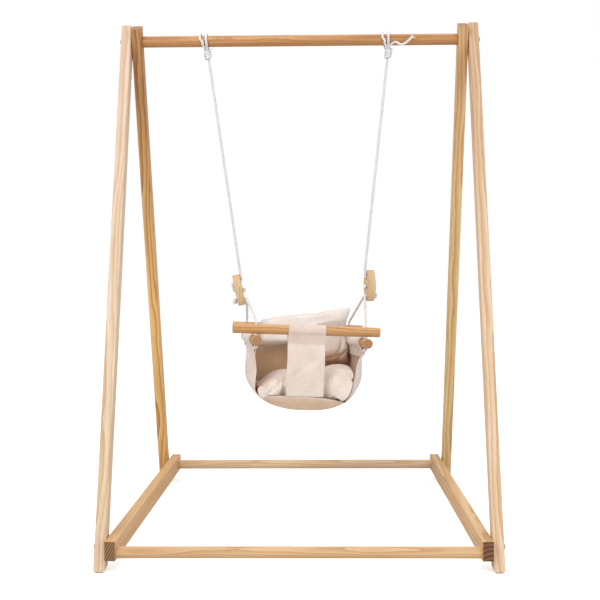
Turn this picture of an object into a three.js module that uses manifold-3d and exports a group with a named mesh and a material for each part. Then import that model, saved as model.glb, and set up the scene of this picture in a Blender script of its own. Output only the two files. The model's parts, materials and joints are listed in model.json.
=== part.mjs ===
// Foldable baby swing: a pine A-frame with a folding base and a canvas seat hung on ropes.
// Millimetres, +Z up, the front towards -Y. The origin is on the floor under the middle of the beam.
import * as THREE from 'three';
import { mergeVertices } from 'three/addons/utils/BufferGeometryUtils.js';
import Module from 'manifold-3d';

const wasm = await Module();
wasm.setup();

// Clearances
const seatGap = 0.3; // between pieces that touch
const boltClearance = 0.4; // round each bolt's shank
const ropeClearance = 1.2; // round a rope in a drilled hole

// Stand: heights, spread and timber
const beamHeight = 1376;
const beamLength = 900;
const beamDiameter = 32;
const footSpread = 1000;
const legThickness = 28;
const legWidth = 45;
const legTopPastBeam = 41;
const timberEase = 1.2;
const padThickness = 3;
const padCornerRadius = 4;
const footRounding = 5; // of the two long lower edges

// Base frame
const railThickness = 28;
const railHeight = 48;
const railPastBolt = 46; // at both ends
const railCentreHeight = 55;
const rearSpacerThickness = 5.4;
const crossbarDiameter = 29;
const frontCrossbarAhead = 26; // of the front bolts, near the rails' front ends
const frontCrossbarDrop = 7.5; // below the bolts' axis, along the rails' lower edges
const socketDepth = 8;

// Bolts and washers
const boltDiameter = 8;
const boltHeadDiameter = 16;
const boltHeadHeight = 5;
const boltDepthInWood = 40;
const washerDiameter = 22;
const washerThickness = 1.2;
const hookPinLength = 8;
const drillRun = 60; // a bit starts this far outside the wood

// Ropes and knots
const ropeDiameter = 8;
const ropeSides = 7;
const beamTurnSides = 6;
const beamTurnSteps = 44;
const beamTurnSplit = 12; // a longer step between the points above the knot parts the two turns
const tailThinner = 0.6; // off the radius of a loose tail
const knotWidth = 23;
const knotHeight = 37;
const stopperKnotDiameter = 17;
const stopperKnotHeight = 14;
const spacerKnotDiameter = 11;

// Rope adjusters
const adjusterLength = 88;
const adjusterMiddleWidth = 42;
const adjusterEndWidth = 17;
const adjusterThickness = 20;
const adjusterHoleUp = 24;
const adjusterHoleMid = -2;
const adjusterHoleLow = -29;
const adjusterEase = 2;
const ropeOffPlate = 0.5; // between an adjuster's face and the rope on it
const ropeAbovePlate = 6; // where the hanging rope comes to the adjuster's face
const leftAdjuster = { x: -178.5, drop: 712.8, lean: -12, turn: 0 };
const rightAdjuster = { x: 197.5, drop: 701.5, lean: 0, turn: 23 };

// Knots under the beam, and the tails that leave them, from each knot's middle
const leftKnot = { x: -263, drop: 37, turns: [-283, -266] };
const rightKnot = { x: 252.8, drop: 38, turns: [236, 252.5] };
const leftTail = [[0, 0, 6], [7, -5, 11], [14, -8, 13]];
const rightTail = [[0, 0, 10], [7, -16, 23], [20, -26, 28], [35, -27, 21], [50, -26, 27], [66, -26, 42]];

// Seat: place and turn of its own frame, whose XY plane holds the side bars' axes
const seatPlace = { x: 8, y: 0, drop: 857.5 }; // the drop is below the beam's axis
const seatTurn = { yaw: 9, roll: 2.85, pitch: -4 };
const seatBarDiameter = 27;
const sideBarLength = 330;
const sideBarSpacing = 308;
const sideBarShift = -5; // towards the front
const barEase = 1.5;
const crossBarDiameter = 27;
const frontBarLength = 412;
const frontBarShift = -12; // its holes lie off centre
const backBarLength = 390;
const crossBarReach = 130; // from the seat's middle to the front bar, and to the back bar
const crossBarGap = 4; // over the side bars, filled by the spacer knots

// Canvas
const canvasThickness = 2.6;
const sleeveDrop = 34;
const sleeveLength = 222;
const tunnelSeam = 6; // below a sleeve's tip
const shellDepth = 160;
const shellPower = 2.8;
const shellFront = -112;
const shellRear = 118;
const shellRearRise = 16;
const shellRiseFrom = 45;
const wallBulge = 15; // the side walls stand out by this at mid-depth
const frontPinch = 7; // and their front edges draw in by this
const lipReach = 14;
const lipHeight = 40;
const lipHalfWidth = 106;
const strapWidth = 105;
const strapSeamDrop = 41;
const strapBow = 10;
const cushionGap = 2; // over the canvas, measured straight up

// Back panel: its top edge rises to the right, where it leans forward most
const panelLeftX = -133;
const panelRightX = 145;
const panelFootX = 149;
const panelLeftTop = 45;
const panelRightTop = 100;
const panelSideX = 135; // between the sleeves
const panelFootLift = 20;
const panelCells = 14; // each way
const leanFrom = 12;
const leftSlant = 0.25;
const rightSlant = 0.9;

// Cushions
const seatCushion = { frontPast: 11, rearGap: 9, sideGap: 8, thickness: 88, lift: -126 };
const backCushion = {
  leftInset: 11, rightInset: 8, thickness: 50, ahead: 30, belowTop: 8, leftFoot: -24, rightFoot: -72,
};

const rad = THREE.MathUtils.degToRad;
const legAngle = Math.atan2(footSpread / 2, beamHeight);
const rearLegInner = beamLength / 2;
const rearLegOuter = rearLegInner + legThickness;
const frontLegInner = rearLegOuter + washerThickness + 2 * seatGap;
const frontLegOuter = frontLegInner + legThickness;
const beamRadius = beamDiameter / 2;
const shellHalfWidth = (sideBarSpacing + canvasThickness) / 2;
const ropeRadius = ropeDiameter / 2;
const ropeOffFace = adjusterThickness / 2 + ropeRadius + ropeOffPlate;
const boltRadius = boltDiameter / 2;
const boltHoleRadius = boltRadius + boltClearance;
const footBoltY = (footSpread / 2) * (1 - railCentreHeight / beamHeight);
const railLength = 2 * (footBoltY + railPastBolt);
const frontCrossbar = { y: -footBoltY - frontCrossbarAhead, z: railCentreHeight - frontCrossbarDrop };
const rearCrossbar = { y: footBoltY, z: railCentreHeight };

const timber = (name, color) => ({ name, color, roughness: 0.62, metalness: 0 });
const looks = {
  frontLeg: timber('pale pine', 0xe8cfb4),
  rearLeg: timber('golden pine', 0xcfa066),
  beam: timber('beech', 0xc8945f),
  rail: timber('pine rail', 0xd2a672),
  crossbar: timber('pale dowel', 0xdcb98c),
  bar: timber('seat bar', 0xc79a63),
  adjuster: timber('adjuster', 0xd8b98a),
  bolt: { name: 'steel', color: 0x8f8a84, roughness: 0.35, metalness: 0.9 },
  nylon: { name: 'nylon', color: 0xe8e4da, roughness: 0.5, metalness: 0 },
  felt: { name: 'felt', color: 0xcdb394, roughness: 0.95, metalness: 0 },
  rope: { name: 'rope', color: 0xf2f1ee, roughness: 0.85, metalness: 0 },
  canvas: { name: 'canvas', color: 0xe6d5c8, roughness: 0.9, metalness: 0 },
  cushion: { name: 'cushion', color: 0xeee4da, roughness: 0.92, metalness: 0 },
};

const swing = new THREE.Group();

function addPiece(name, geometry, look) {
  const { color, roughness, metalness } = look;
  const mesh = new THREE.Mesh(geometry, new THREE.MeshStandardMaterial({ color, roughness, metalness }));
  mesh.name = name;
  swing.add(mesh);
  return mesh;
}

// Solids: from a geometry to a manifold and back

function toSolid(geometry) {
  const bare = geometry.clone();
  bare.deleteAttribute('normal');
  bare.deleteAttribute('uv');
  const merged = mergeVertices(bare, 1e-4);
  const triVerts = new Uint32Array(merged.index.array);
  const vertProperties = new Float32Array(merged.attributes.position.array);
  return new wasm.Manifold(new wasm.Mesh({ numProp: 3, vertProperties, triVerts }));
}

function toGeometry(solid) {
  const mesh = solid.getMesh();
  const geometry = new THREE.BufferGeometry();
  geometry.setAttribute('position', new THREE.BufferAttribute(new Float32Array(mesh.vertProperties), 3));
  geometry.setIndex(new THREE.BufferAttribute(new Uint32Array(mesh.triVerts), 1));
  return geometry;
}

const join = (...parts) => toGeometry(parts.map(toSolid).reduce((whole, part) => whole.add(part)));

function cut(body, ...tools) {
  return toGeometry(tools.map(toSolid).reduce((rest, tool) => rest.subtract(tool), toSolid(body)));
}

const common = (body, envelope) => toGeometry(toSolid(body).intersect(toSolid(envelope)));

// Shapes drawn in the side view (Y, Z) and run out along X

const sideView = new THREE.Matrix4().makeBasis(
  new THREE.Vector3(0, 1, 0),
  new THREE.Vector3(0, 0, 1),
  new THREE.Vector3(1, 0, 0),
);

function extrudeAlongX(shape, from, to, ease = 0) {
  const bevel = { bevelEnabled: ease > 0, bevelSize: ease, bevelThickness: ease, bevelOffset: -ease, bevelSegments: 1 };
  const geometry = new THREE.ExtrudeGeometry(shape, { depth: to - from - 2 * ease, curveSegments: 8, ...bevel });
  return geometry.translate(0, 0, from + ease).applyMatrix4(sideView);
}

function cylinderAlongX(radius, from, to, y, z, sides = 24) {
  const geometry = new THREE.CylinderGeometry(radius, radius, to - from, sides);
  return geometry.rotateZ(Math.PI / 2).translate((from + to) / 2, y, z);
}

function roundHole(shape, y, z, radius) {
  const path = new THREE.Path();
  path.absarc(y, z, radius, 0, 2 * Math.PI, true);
  shape.holes.push(path);
}

function ringAlongX(outer, inner, from, to, y, z) {
  const shape = new THREE.Shape().absarc(y, z, outer, 0, 2 * Math.PI, false);
  roundHole(shape, y, z, inner);
  return extrudeAlongX(shape, from, to);
}

// Legs: the top is cut square to the leg, the foot level with the floor

function legPoint(side, along, across) {
  const y = side * (along * Math.sin(legAngle)) + across * Math.cos(legAngle);
  const z = beamHeight - along * Math.cos(legAngle) + side * across * Math.sin(legAngle);
  return new THREE.Vector2(y, z);
}

function legFootPoint(side, across, height) {
  const along = (beamHeight - height + side * across * Math.sin(legAngle)) / Math.cos(legAngle);
  return legPoint(side, along, across);
}

function legShape(side) {
  const half = legWidth / 2;
  const shape = new THREE.Shape([
    legPoint(side, -legTopPastBeam, -half),
    legFootPoint(side, -half, padThickness),
    legFootPoint(side, half, padThickness),
    legPoint(side, -legTopPastBeam, half),
  ]);
  roundHole(shape, 0, beamHeight, boltHoleRadius);
  roundHole(shape, side * footBoltY, railCentreHeight, boltHoleRadius);
  return shape;
}

function addLeg(hand, end) {
  const side = end === 'front' ? -1 : 1;
  const inner = end === 'front' ? frontLegInner : rearLegInner;
  const sawn = extrudeAlongX(legShape(side), inner, inner + legThickness, timberEase);
  let leg = common(sawn, footEnvelope(inner));
  if (end === 'rear') {
    const sinkDepth = boltHeadHeight + seatGap;
    const sinkRadius = boltHeadDiameter / 2 + boltClearance;
    const sink = cylinderAlongX(sinkRadius, rearLegOuter - sinkDepth, rearLegOuter + 1, footBoltY, railCentreHeight);
    leg = cut(leg, sink);
  }
  addPiece(`${hand.name}_${end}_leg`, mirrored(leg, hand), end === 'front' ? looks.frontLeg : looks.rearLeg);
}

// A leg's room seen from the front: its two lower corners are rounded
function footEnvelope(inner) {
  const outer = inner + legThickness;
  const top = beamHeight + 2 * legTopPastBeam;
  const corner = padThickness + footRounding;
  const shape = new THREE.Shape().moveTo(inner, top).lineTo(inner, corner);
  shape.absarc(inner + footRounding, corner, footRounding, Math.PI, Math.PI * 1.5, false);
  shape.lineTo(outer - footRounding, padThickness);
  shape.absarc(outer - footRounding, corner, footRounding, Math.PI * 1.5, Math.PI * 2, false);
  shape.lineTo(outer, top);
  const room = new THREE.ExtrudeGeometry(shape, { depth: 2 * footSpread, bevelEnabled: false, curveSegments: 3 });
  return room.rotateX(Math.PI / 2).translate(0, footSpread, 0);
}

function addFootPad(hand, end) {
  const side = end === 'front' ? -1 : 1;
  const inner = (end === 'front' ? frontLegInner : rearLegInner) + footRounding;
  const outer = inner + legThickness - 2 * footRounding;
  const near = legFootPoint(side, -legWidth / 2, padThickness).x;
  const far = legFootPoint(side, legWidth / 2, padThickness).x;
  const shape = roundedRectangle(inner, near, outer, far, padCornerRadius);
  const depth = padThickness - seatGap;
  const pad = new THREE.ExtrudeGeometry(shape, { depth, bevelEnabled: false, curveSegments: 2 });
  addPiece(`${hand.name}_${end}_foot_pad`, mirrored(pad, hand), looks.felt);
}

function roundedRectangle(x0, y0, x1, y1, radius) {
  const shape = new THREE.Shape();
  shape.moveTo(x0 + radius, y0);
  shape.lineTo(x1 - radius, y0).absarc(x1 - radius, y0 + radius, radius, -Math.PI / 2, 0, false);
  shape.lineTo(x1, y1 - radius).absarc(x1 - radius, y1 - radius, radius, 0, Math.PI / 2, false);
  shape.lineTo(x0 + radius, y1).absarc(x0 + radius, y1 - radius, radius, Math.PI / 2, Math.PI, false);
  shape.lineTo(x0, y0 + radius).absarc(x0 + radius, y0 + radius, radius, Math.PI, Math.PI * 1.5, false);
  return shape;
}

// The pieces of the right side are made first, and the left ones are their mirror images

function mirrored(geometry, hand) {
  if (hand.sign > 0) return geometry;
  const flipped = geometry.index ? geometry.toNonIndexed() : geometry.clone();
  flipped.scale(-1, 1, 1);
  const position = flipped.attributes.position;
  const corner = new THREE.Vector3();
  const other = new THREE.Vector3();
  for (let i = 0; i < position.count; i += 3) {
    corner.fromBufferAttribute(position, i + 1);
    other.fromBufferAttribute(position, i + 2);
    position.setXYZ(i + 1, other.x, other.y, other.z);
    position.setXYZ(i + 2, corner.x, corner.y, corner.z);
  }
  return flipped;
}

// Beam: a dowel with a bored end for each pivot bolt

function addBeam() {
  const end = rearLegInner - seatGap;
  const bottom = end - boltDepthInWood - 2;
  const half = [[beamRadius, end - 1], [beamRadius - 1, end], [boltHoleRadius, end], [boltHoleRadius, bottom], [0, bottom]];
  const mirror = half.map(([r, h]) => [r, -h]).reverse();
  const profile = [...mirror, ...half].map(([r, h]) => new THREE.Vector2(r, h));
  const beam = new THREE.LatheGeometry(profile, 24).rotateZ(-Math.PI / 2).translate(0, 0, beamHeight);
  addPiece('beam', beam, looks.beam);
}

// Dome-headed bolt along X: its head's flat side is at headAt and its shank ends at tip

function boltAlongX(headAt, tip, y, z) {
  const radius = boltHeadDiameter / 2;
  const profile = [
    [0, tip], [boltRadius - 0.8, tip], [boltRadius, tip + 0.8], [boltRadius, headAt], [radius, headAt],
    [radius, headAt + 1.4], [radius * 0.87, headAt + 3], [radius * 0.55, headAt + 4.4], [0, headAt + boltHeadHeight],
  ].map(([r, h]) => new THREE.Vector2(r, h));
  return new THREE.LatheGeometry(profile, 12).rotateZ(-Math.PI / 2).translate(0, y, z);
}

function addBoltsAndWashers(hand) {
  const topHead = frontLegOuter + seatGap;
  const topBolt = boltAlongX(topHead, rearLegInner - boltDepthInWood, 0, beamHeight);
  addPiece(`${hand.name}_beam_bolt`, mirrored(topBolt, hand), looks.bolt);
  const washerFrom = rearLegOuter + seatGap;
  const washerRadius = washerDiameter / 2;
  const washer = ringAlongX(washerRadius, boltHoleRadius, washerFrom, washerFrom + washerThickness, 0, beamHeight);
  addPiece(`${hand.name}_beam_washer`, mirrored(washer, hand), looks.nylon);
  const frontBolt = boltAlongX(topHead, frontLegInner - hookPinLength, -footBoltY, railCentreHeight);
  addPiece(`${hand.name}_front_bolt`, mirrored(frontBolt, hand), looks.bolt);
  const rearHead = rearLegOuter - boltHeadHeight - seatGap / 2;
  const rearTip = railFace(footBoltY) - railThickness - boltDepthInWood / 2;
  const rearBolt = boltAlongX(rearHead, rearTip, footBoltY, railCentreHeight);
  addPiece(`${hand.name}_rear_bolt`, mirrored(rearBolt, hand), looks.bolt);
  const spacerTo = rearLegInner - seatGap;
  const spacerFrom = spacerTo - rearSpacerThickness + seatGap;
  const spacer = ringAlongX(washerRadius, boltHoleRadius, spacerFrom, spacerTo, footBoltY, railCentreHeight);
  addPiece(`${hand.name}_rear_spacer`, mirrored(spacer, hand), looks.nylon);
}

// Base rails: each runs from the front leg's inner face to the rear leg's inner face, so it turns inwards

const railOuterFront = frontLegInner - seatGap;
const railOuterRear = rearLegInner - rearSpacerThickness - 2 * seatGap;
const railTurn = Math.atan2(railOuterFront - railOuterRear, railLength / 2 + footBoltY);

function railFace(y) {
  return railOuterRear + (footBoltY - y) * Math.tan(railTurn);
}

// The front bolt leaves its hook on an arc about the beam, and the hook opens downwards below the bolt
function hookShape() {
  const radius = Math.hypot(footBoltY, beamHeight - railCentreHeight);
  const room = boltHoleRadius + 0.2;
  const below = railCentreHeight - railHeight / 2 - 5;
  const shape = new THREE.Shape();
  shape.moveTo(-footBoltY - room, below);
  shape.lineTo(-footBoltY - room, railCentreHeight);
  shape.absarc(-footBoltY, railCentreHeight, room, Math.PI, Math.PI / 2 - legAngle, true);
  const start = Math.atan2(footBoltY, beamHeight - railCentreHeight);
  for (let angle = start - rad(0.5); ; angle -= rad(0.5)) {
    const y = -(radius - room) * Math.sin(angle);
    const z = beamHeight - (radius - room) * Math.cos(angle);
    shape.lineTo(y, z);
    if (z < below) break;
  }
  return shape;
}

function addRail(hand) {
  const height = railHeight / 2;
  const profile = new THREE.Shape([
    new THREE.Vector2(-railLength / 2, -height), new THREE.Vector2(railLength / 2, -height),
    new THREE.Vector2(railLength / 2, height), new THREE.Vector2(-railLength / 2, height),
  ]);
  const rail = extrudeAlongX(profile, -railThickness, 0, timberEase).rotateZ(railTurn);
  rail.translate(railFace(0), 0, railCentreHeight);
  const hook = extrudeAlongX(hookShape(), frontLegInner - hookPinLength - 2 * seatGap, frontLegInner + 5);
  const socketRadius = crossbarDiameter / 2 + seatGap;
  const tools = [hook];
  for (const { y, z } of [frontCrossbar, rearCrossbar]) {
    const bottom = crossbarEnd(y) + seatGap;
    tools.push(cylinderAlongX(socketRadius, bottom - drillRun, bottom, y, z, 28));
  }
  const boreFrom = rearLegInner - 2 * drillRun;
  tools.push(cylinderAlongX(boltHoleRadius, boreFrom, rearLegInner + drillRun, footBoltY, railCentreHeight, 16));
  addPiece(`${hand.name}_rail`, mirrored(cut(rail, ...tools), hand), looks.rail);
}

function crossbarEnd(y) {
  return railFace(y) - railThickness / Math.cos(railTurn) + socketDepth;
}

function crossbarBody({ y, z }) {
  const end = crossbarEnd(y);
  return cylinderAlongX(crossbarDiameter / 2, -end, end, y, z, 28);
}

// The rear bolts run on into the rear crossbar's ends
function rearCrossbarBores({ y, z }) {
  const end = crossbarEnd(y) + 1;
  const inside = crossbarEnd(y) - boltDepthInWood / 2 - socketDepth;
  return [[-end, -inside], [inside, end]].map(([from, to]) => cylinderAlongX(boltHoleRadius, from, to, y, z, 16));
}

// Ropes: a route is straight between its points, with each corner rounded

function route(points, radius) {
  const path = new THREE.CurvePath();
  const corners = points.map((p) => new THREE.Vector3(...p));
  let from = corners[0];
  for (let i = 1; i < corners.length - 1; i += 1) {
    const back = corners[i - 1].clone().sub(corners[i]);
    const ahead = corners[i + 1].clone().sub(corners[i]);
    const bend = Math.PI - back.angleTo(ahead);
    const trim = Math.min(radius * Math.tan(bend / 2), back.length() * 0.49, ahead.length() * 0.49);
    const start = corners[i].clone().addScaledVector(back.normalize(), trim);
    const end = corners[i].clone().addScaledVector(ahead.normalize(), trim);
    path.add(new THREE.LineCurve3(from, start));
    path.add(new THREE.QuadraticBezierCurve3(start, corners[i], end));
    from = end;
  }
  path.add(new THREE.LineCurve3(from, corners.at(-1)));
  return path;
}

function tube(path, radius, steps, sides = ropeSides) {
  const section = new THREE.Shape();
  section.setFromPoints([...Array(sides).keys()].map((i) => {
    const angle = (2 * Math.PI * i) / sides;
    return new THREE.Vector2(radius * Math.cos(angle), radius * Math.sin(angle));
  }));
  return new THREE.ExtrudeGeometry(section, { steps, bevelEnabled: false, extrudePath: path });
}

const ropeRun = (points, bend, steps) => tube(route(points, bend), ropeRadius, steps);

// A tight knot: two crossed turns of rope round a core
function knot(place, width, height, axis = new THREE.Vector3(0, 0, 1)) {
  const turnRadius = (width - ropeDiameter) / 2;
  const upright = new THREE.Quaternion().setFromUnitVectors(new THREE.Vector3(0, 0, 1), axis);
  const parts = [-1, 1].map((side) => {
    const turn = new THREE.TorusGeometry(turnRadius, ropeRadius, 5, 9).rotateX(side * rad(28));
    return turn.rotateY(rad(18)).translate(0, 0, side * (height / 2 - ropeRadius - turnRadius * 0.5) * 0.7);
  });
  parts.push(new THREE.SphereGeometry(turnRadius + 1, 7, 4).scale(1, 1, height / (2 * turnRadius + 2) * 0.92));
  return parts.map((part) => part.applyQuaternion(upright).translate(...place));
}

// Two turns round the beam as one unbroken tube, from the knot and back to it
function beamTurns({ x, drop, turns }) {
  const radius = beamRadius + 2 * seatGap + ropeRadius;
  const start = beamHeight - drop + knotHeight / 6;
  const points = [new THREE.Vector3(x, 0, start)];
  for (const [index, turnX] of turns.entries()) {
    const lean = (x - turnX) * 0.35;
    for (let angle = -30; angle <= 210; angle += 20) {
      const y = -radius * Math.cos(rad(angle));
      const up = radius * Math.sin(rad(angle));
      const towardsKnot = angle < 0 || angle > 180 ? lean : 0;
      points.push(new THREE.Vector3(turnX + towardsKnot, y, beamHeight + up));
    }
    points.push(new THREE.Vector3(x + (index ? 1 : -1), 0, start));
  }
  return new THREE.CatmullRomCurve3(points, false, 'centripetal');
}

// Least gap between the two turns, away from the knot that they both run into
function leastTurnGap(curve, knotZ) {
  const points = curve.getSpacedPoints(200).filter((p) => p.z > knotZ + knotHeight / 2 + 4);
  const half = points.findIndex((p, i) => i > 0 && p.distanceTo(points[i - 1]) > beamTurnSplit);
  let least = Infinity;
  for (const a of points.slice(0, half)) {
    for (const b of points.slice(half)) least = Math.min(least, a.distanceTo(b) - ropeDiameter);
  }
  return least;
}

// Adjuster: an oval wooden plate with three holes, its flat faces square to its own X

function adjusterShape() {
  const half = adjusterLength / 2;
  const end = adjusterEndWidth / 2;
  const middle = adjusterMiddleWidth / 2;
  const shape = new THREE.Shape();
  shape.moveTo(-end, -half);
  shape.lineTo(end, -half);
  shape.bezierCurveTo(middle * 1.15, -half * 0.45, middle * 1.15, half * 0.45, end, half);
  shape.lineTo(-end, half);
  shape.bezierCurveTo(-middle * 1.15, half * 0.45, -middle * 1.15, -half * 0.45, -end, -half);
  for (const z of [adjusterHoleUp, adjusterHoleMid, adjusterHoleLow]) {
    roundHole(shape, 0, z, ropeRadius + ropeClearance);
  }
  return shape;
}

function adjusterMatrix({ x, drop, lean, turn }) {
  const matrix = new THREE.Matrix4().makeTranslation(x, 0, beamHeight - drop);
  matrix.multiply(new THREE.Matrix4().makeRotationY(rad(lean)));
  return matrix.multiply(new THREE.Matrix4().makeRotationZ(rad(turn)));
}

function addAdjuster(name, place) {
  const half = adjusterThickness / 2;
  const plate = extrudeAlongX(adjusterShape(), -half, half, adjusterEase).applyMatrix4(adjusterMatrix(place));
  addPiece(name, plate, looks.adjuster);
}

// Hanging rope: two turns and a knot at the beam, down to the adjuster, out through its upper hole,
// down its outer face and back in through its middle hole to a stopper knot
function addHangingRope(hand, top, tail, tailSteps, adjuster) {
  const matrix = adjusterMatrix(adjuster);
  const inward = -hand.sign;
  const onPlate = (out, z) => new THREE.Vector3(inward * out * ropeOffFace, 0, z).applyMatrix4(matrix).toArray();
  const weave = [
    onPlate(1, adjusterLength / 2 + ropeAbovePlate), onPlate(1, adjusterHoleUp), onPlate(-1, adjusterHoleUp),
    onPlate(-1, adjusterHoleMid), onPlate(1.5, adjusterHoleMid),
  ];
  const turns = beamTurns(top);
  const knotZ = beamHeight - top.drop;
  const tailPoints = tail.map(([x, y, z]) => new THREE.Vector3(top.x + x, y, knotZ + z));
  console.log(`${hand.name} beam turns: least gap ${leastTurnGap(turns, knotZ).toFixed(2)} mm`);
  const stopper = new THREE.Vector3(inward * (ropeOffFace + 5), 0, adjusterHoleMid).applyMatrix4(matrix);
  const acrossPlate = new THREE.Vector3(1, 0, 0).transformDirection(matrix);
  const rope = join(
    tube(turns, ropeRadius, beamTurnSteps, beamTurnSides),
    ...knot([top.x, 0, knotZ], knotWidth, knotHeight),
    tube(new THREE.CatmullRomCurve3(tailPoints), ropeRadius - tailThinner, tailSteps),
    ropeRun([[top.x, 0, knotZ], weave[0]], 1, 4),
    ropeRun([[...weave[0]].map((v, i) => v + (i === 2 ? 2 : 0)), ...weave], 6, 16),
    ...knot(stopper.toArray(), stopperKnotDiameter, stopperKnotHeight, acrossPlate),
  );
  addPiece(`${hand.name}_hanging_rope`, rope, looks.rope);
}

// Seat frame

const seatMatrix = new THREE.Matrix4().makeTranslation(seatPlace.x, seatPlace.y, beamHeight - seatPlace.drop);
seatMatrix.multiply(new THREE.Matrix4().makeRotationZ(rad(seatTurn.yaw)));
seatMatrix.multiply(new THREE.Matrix4().makeRotationY(rad(seatTurn.roll)));
seatMatrix.multiply(new THREE.Matrix4().makeRotationX(rad(seatTurn.pitch)));

const sideBarX = sideBarSpacing / 2;
const seatBarRadius = seatBarDiameter / 2;
const crossBarRadius = crossBarDiameter / 2;
const crossBarZ = seatBarRadius + crossBarGap + crossBarRadius;
const ropeHoleRadius = ropeRadius + ropeClearance;

function addSeatPiece(name, geometry, look) {
  addPiece(name, geometry.applyMatrix4(seatMatrix), look);
}

function uprightHole(x, y, z, length) {
  const drill = new THREE.CylinderGeometry(ropeHoleRadius, ropeHoleRadius, length, 16);
  return drill.rotateX(Math.PI / 2).translate(x, y, z);
}

function roundBar(radius, length, sides = 24) {
  const half = length / 2;
  const edge = radius - barEase;
  const straight = half - barEase;
  const profile = [[0, -half], [edge, -half], [radius, -straight], [radius, straight], [edge, half], [0, half]];
  return new THREE.LatheGeometry(profile.map(([r, h]) => new THREE.Vector2(r, h)), sides);
}

function addSideBar(hand) {
  const x = hand.sign * sideBarX;
  const bar = roundBar(seatBarRadius, sideBarLength).translate(x, sideBarShift, 0);
  const holes = [-1, 1].map((side) => uprightHole(x, side * crossBarReach, 0, seatBarDiameter + 4));
  addSeatPiece(`${hand.name}_side_bar`, cut(bar, ...holes), looks.bar);
}

function addCrossBar(name, length, y, shift = 0) {
  const bar = roundBar(crossBarRadius, length).rotateZ(Math.PI / 2).translate(shift, y, crossBarZ);
  const holes = [-1, 1].map((side) => uprightHole(side * sideBarX, y, crossBarZ, crossBarDiameter + 4));
  addSeatPiece(name, cut(bar, ...holes), looks.bar);
}

// Sling: from the adjuster's low hole a strand runs down through each cross bar and the side bar below it,
// with a spacer knot between the bars and a stopper knot under the side bar
function slingStrand(hand, adjuster, y) {
  const x = hand.sign * sideBarX;
  const toWorld = (z) => new THREE.Vector3(x, y, z).applyMatrix4(seatMatrix).toArray();
  const inward = -hand.sign * ropeOffFace;
  const matrix = adjusterMatrix(adjuster);
  const inHole = new THREE.Vector3(-inward * 0.8, 0, adjusterHoleLow).applyMatrix4(matrix).toArray();
  const atMouth = new THREE.Vector3(inward * 1.15, 0, adjusterHoleLow).applyMatrix4(matrix).toArray();
  const topOfBar = crossBarZ + crossBarRadius + ropeDiameter;
  const down = new THREE.Vector3(0, 0, 1).transformDirection(seatMatrix);
  const spacerZ = seatBarRadius + crossBarGap / 2;
  const spacerRadius = spacerKnotDiameter / 2;
  const spacer = new THREE.CylinderGeometry(spacerRadius, spacerRadius, crossBarGap - 2 * seatGap, 8);
  const stopperZ = -seatBarRadius - seatGap - stopperKnotHeight / 2;
  return [
    ropeRun([inHole, atMouth, toWorld(topOfBar), toWorld(stopperZ)], 9, 21),
    spacer.rotateX(Math.PI / 2).translate(x, y, spacerZ).applyMatrix4(seatMatrix),
    ...knot(toWorld(stopperZ), stopperKnotDiameter, stopperKnotHeight, down),
  ];
}

function addSlingRope(hand, adjuster) {
  const matrix = adjusterMatrix(adjuster);
  const outward = hand.sign * (adjusterThickness / 2 + seatGap + stopperKnotHeight / 2);
  const outerKnot = new THREE.Vector3(outward, 0, adjusterHoleLow).applyMatrix4(matrix).toArray();
  const acrossPlate = new THREE.Vector3(1, 0, 0).transformDirection(matrix);
  const strands = [-1, 1].flatMap((side) => slingStrand(hand, adjuster, side * crossBarReach));
  const sling = join(...strands, ...knot(outerKnot, stopperKnotDiameter, stopperKnotHeight, acrossPlate));
  addPiece(`${hand.name}_sling_rope`, sling, looks.rope);
}

// Canvas: a sheet is a grid of points with a thickness, closed round its rim

function sheet(pointAt, columns, rows, thickness) {
  const outer = [];
  for (let i = 0; i <= columns; i += 1) {
    for (let j = 0; j <= rows; j += 1) outer.push(pointAt(i / columns, j / rows));
  }
  const { clamp } = THREE.MathUtils;
  const at = (i, j) => outer[clamp(i, 0, columns) * (rows + 1) + clamp(j, 0, rows)];
  const inner = outer.map((point, index) => {
    const i = Math.floor(index / (rows + 1));
    const j = index % (rows + 1);
    const across = at(i + 1, j).clone().sub(at(i - 1, j));
    const along = at(i, j + 1).clone().sub(at(i, j - 1));
    return point.clone().addScaledVector(across.cross(along).normalize(), thickness);
  });
  return closedGrid(outer, inner, columns, rows);
}

function closedGrid(outer, inner, columns, rows) {
  const position = [...outer, ...inner].flatMap((p) => p.toArray());
  const shift = outer.length;
  const id = (i, j) => i * (rows + 1) + j;
  const index = [];
  const quad = (a, b, c, d) => index.push(a, b, c, a, c, d);
  for (let i = 0; i < columns; i += 1) {
    for (let j = 0; j < rows; j += 1) {
      quad(id(i, j), id(i, j + 1), id(i + 1, j + 1), id(i + 1, j));
      quad(shift + id(i, j), shift + id(i + 1, j), shift + id(i + 1, j + 1), shift + id(i, j + 1));
    }
  }
  for (let i = 0; i < columns; i += 1) {
    quad(id(i, 0), id(i + 1, 0), shift + id(i + 1, 0), shift + id(i, 0));
    quad(id(i + 1, rows), id(i, rows), shift + id(i, rows), shift + id(i + 1, rows));
  }
  for (let j = 0; j < rows; j += 1) {
    quad(id(0, j + 1), id(0, j), shift + id(0, j), shift + id(0, j + 1));
    quad(id(columns, j), id(columns, j + 1), shift + id(columns, j + 1), shift + id(columns, j));
  }
  const geometry = new THREE.BufferGeometry();
  geometry.setAttribute('position', new THREE.Float32BufferAttribute(position, 3));
  geometry.setIndex(index);
  return geometry;
}

// The seat hangs in a U between the side bars. A share of 0 is at the sleeves, and 1 at the bottom
function wallX(share, along) {
  const bulge = wallBulge * Math.sin(Math.PI * along) - frontPinch * Math.max(0, 1 - along / 0.3);
  return shellHalfWidth * (1 - share ** shellPower) ** (1 / shellPower) + bulge * 4 * share * (1 - share);
}

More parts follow.
